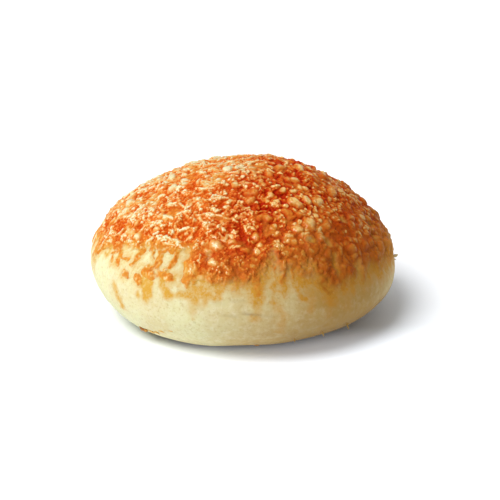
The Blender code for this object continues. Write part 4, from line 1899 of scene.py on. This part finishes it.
FOOT_CRUMBS = (
    (-46.5, -48.0, 3.6, 2.6, 1.3, 20.0, 14.0, 0.15),
    (-47.5, -45.0, 2.2, 1.4, 0.8, -35.0, 30.0, 0.4),
    (-44.0, -46.0, 2.8, 1.3, 0.9, 50.0, 30.0, 0.7),
    (-41.0, -44.0, 4.2, 1.7, 0.8, 5.0, 10.0, 1.0),
    (-37.5, -41.0, 3.2, 1.3, 0.7, -8.0, 14.0, 1.1),
    (-34.0, -36.0, 3.4, 1.2, 0.6, 10.0, 10.0, 1.0),
    (-29.0, -30.0, 2.4, 0.9, 0.5, 0.0, 8.0, 1.1),
    (6.5, -50.0, 2.0, 1.2, 0.7, 0.0, 8.0, 0.4),
)

FIBRES = (
    (43.5, -24.5, 2.6, 0.6, 0.5, -75.0, 62.0, 0.1),
    (44.5, -26.0, 1.4, 0.5, 0.4, -20.0, 50.0, 0.1),
    (32.0, -27.5, 2.2, 0.6, 0.5, -60.0, 60.0, 0.2),
    (21.0, -33.0, 1.9, 0.6, 0.5, -80.0, 55.0, 0.3),
    (90.0, 8.5, 2.2, 1.2, 0.9, -10.0, 55.0, 0.1),
    (91.5, 5.0, 1.2, 0.7, 0.5, -50.0, 45.0, 0.1),
    (62.0, -12.0, 1.3, 0.45, 0.4, 30.0, 40.0, 0.2),
    (-63.0, -4.0, 0.9, 0.3, 0.25, 60.0, 30.0, 0.6),
)


# ---------- The studio ----------


@dataclass(frozen=True)
class Studio:
    """A white floor, soft light from the upper left and a long lens a little above the bun."""

    elevation: float = 21.0
    distance: float = 0.795
    frame_width: float = 0.1797
    aim: tuple[float, float, float] = (2.44 * MM, 0.0, 21.7 * MM)
    aim_up: float = 0.43 * MM
    sensor: float = 36.0
    floor_side: float = 6.0
    white: Colour = (1.0, 1.0, 1.0, 1.0)
    # Painted on the floor: a cool tint against the bun's warm bounce light, a darker contact
    # shadow at +X and a glow that lifts the shadow in front.
    floor_painted_cool: Colour = (0.90, 0.945, 1.0, 1.0)
    floor_painted_shadow: Colour = (0.78, 0.81, 0.88, 1.0)
    floor_painted_glow: Colour = (0.21, 0.225, 0.25, 1.0)
    dark: Colour = (0.0, 0.0, 0.0, 1.0)
    floor_roughness: float = 0.9
    floor_specular: float = 0.1
    surround: float = 0.12
    key: tuple[float, float, float, float] = (-46.0, 55.0, 36.0, 2.75)
    fills: tuple[tuple[float, float, float, float], ...] = (
        (-135.0, 32.0, 50.0, 0.5),
        (138.0, 12.0, 44.0, 0.9),
        (172.0, 48.0, 70.0, 0.65),
        (5.0, 14.0, 100.0, 0.35),
        (-95.0, 18.0, 80.0, 0.8),
    )

    def floor(self) -> None:
        """A large white floor at the height of the bun's underside.

        It is painted bluish near the bun, against the warm light that the bun throws on it,
        painted darker where it lies closest to it at +X as a contact shadow, and glows a little in
        front of it, a painted light that lifts the shadow there. Each of these fades with the
        distance from the middle of the base.
        """
        bench = FinishBench("studio_floor")
        place = bench.place()
        away = bench.node("ShaderNodeVectorMath", {"operation": "LENGTH"}, {0: place}, "Value")
        # Painted bluish near the bun, against the warm light that the bun throws on the floor.
        near = 1.0 - away.eased(45 * MM, 110 * MM)
        right = bench.along(place, (1.0, -0.4, 0.0)).eased(5 * MM, 40 * MM)
        # Painted contact shadow: the floor is darker where it lies closest to the bun at +X.
        painted_shadow = (1.0 - away.eased(33 * MM, 48 * MM)) * right
        colour = bench.blend(near, self.white, self.floor_painted_cool)
        bench.set("Base Color", bench.blend(painted_shadow, colour, self.floor_painted_shadow))
        # A painted light: the floor glows in front of the bun to lift the shadow there.
        front = bench.along(place, (0.1, -1.0, 0.0)).eased(20 * MM, 40 * MM)
        share = near * front * away.eased(28 * MM, 44 * MM)
        bench.set("Emission Color", bench.blend(share, self.dark, self.floor_painted_glow))
        bench.set("Emission Strength", 1.0)
        bench.set("Roughness", self.floor_roughness)
        bench.set("Specular IOR Level", self.floor_specular)
        half = self.floor_side / 2
        signs = np.array([(-1.0, -1.0, 0.0), (1.0, -1.0, 0.0), (1.0, 1.0, 0.0), (-1.0, 1.0, 0.0)])
        floor = make_piece("floor", signs * half, [np.arange(4)[None]], {}, bench.material)

    def light(self) -> None:
        """A dim white surround, and a broad sun for each lamp.

        A lamp's numbers are the azimuth and rise that it shines from, its spread and its strength.
        """
        world = bpy.data.worlds.new("white_surround")
        world.use_nodes = True
        background = world.node_tree.nodes["Background"]
        background.inputs["Color"].default_value = self.white
        background.inputs["Strength"].default_value = self.surround
        bpy.context.scene.world = world
        for number, (azimuth, rise, spread, strength) in enumerate((self.key, *self.fills)):
            lamp = bpy.data.lights.new(f"lamp_{number}", "SUN")
            lamp.energy = strength
            lamp.angle = math.radians(spread)
            turn, tilt = math.radians(azimuth), math.radians(rise)
            level = math.cos(tilt)
            source = Vector((math.sin(turn) * level, -math.cos(turn) * level, math.sin(tilt)))
            carrier = bpy.data.objects.new(f"lamp_{number}", lamp)
            carrier.visible_glossy = number == 0
            carrier.rotation_mode = "QUATERNION"
            carrier.rotation_quaternion = source.to_track_quat("Z", "Y")
            bpy.context.scene.collection.objects.link(carrier)

    def camera(self) -> None:
        """A perspective camera that looks along +Y and down by the elevation."""
        lens = bpy.data.cameras.new("camera")
        lens.sensor_width = self.sensor
        lens.lens = self.sensor * self.distance / self.frame_width
        lens.clip_start, lens.clip_end = 0.05, 20.0
        rise = math.radians(self.elevation)
        back = Vector((0.0, -math.cos(rise), math.sin(rise)))
        upward = Vector((0.0, math.sin(rise), math.cos(rise)))
        camera = bpy.data.objects.new("camera", lens)
        camera.location = Vector(self.aim) + upward * self.aim_up + back * self.distance
        camera.rotation_euler = back.to_track_quat("Z", "Y").to_euler()
        bpy.context.scene.collection.objects.link(camera)
        bpy.context.scene.camera = camera

    def set_up(self) -> None:
        """Builds the studio and shows colours as they are."""
        self.camera()
        self.floor()
        self.light()
        bpy.context.scene.view_settings.view_transform = "Standard"


def carry(piece: bpy.types.Object, node: str | None = None) -> None:
    """Lets a piece ride on the bun's body, and hides the CAD node that it stands for, if there is
    one.

    Args:
        piece: the piece.
        node: the CAD node that it stands for, if there is one.
    """
    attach(piece, BODY)
    if node is not None:
        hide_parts(node)
    log.info("%s: %d faces", piece.name, len(piece.data.polygons))


def main() -> None:
    """Builds the bun and the studio round it."""
    logging.basicConfig(level=logging.INFO, format="%(name)s: %(message)s")
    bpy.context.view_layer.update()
    Studio().set_up()
    form = BunForm.of_node("dough_bun")
    dough = Dough(form, CheeseCover(form))
    carry(dough.build(), "dough_bun")
    for quarter in CheeseCrust(dough).build():
        carry(quarter, "cheese_crust")
    carry(Scraps("foot_crumbs", FOOT_CRUMBS).build(form, ScrapFinish().make()))
    fibres = Scraps("dough_fibres", FIBRES).build(form, bpy.data.materials["pale_dough"])
    carry(fibres)


if __name__ == "__main__":
    main()
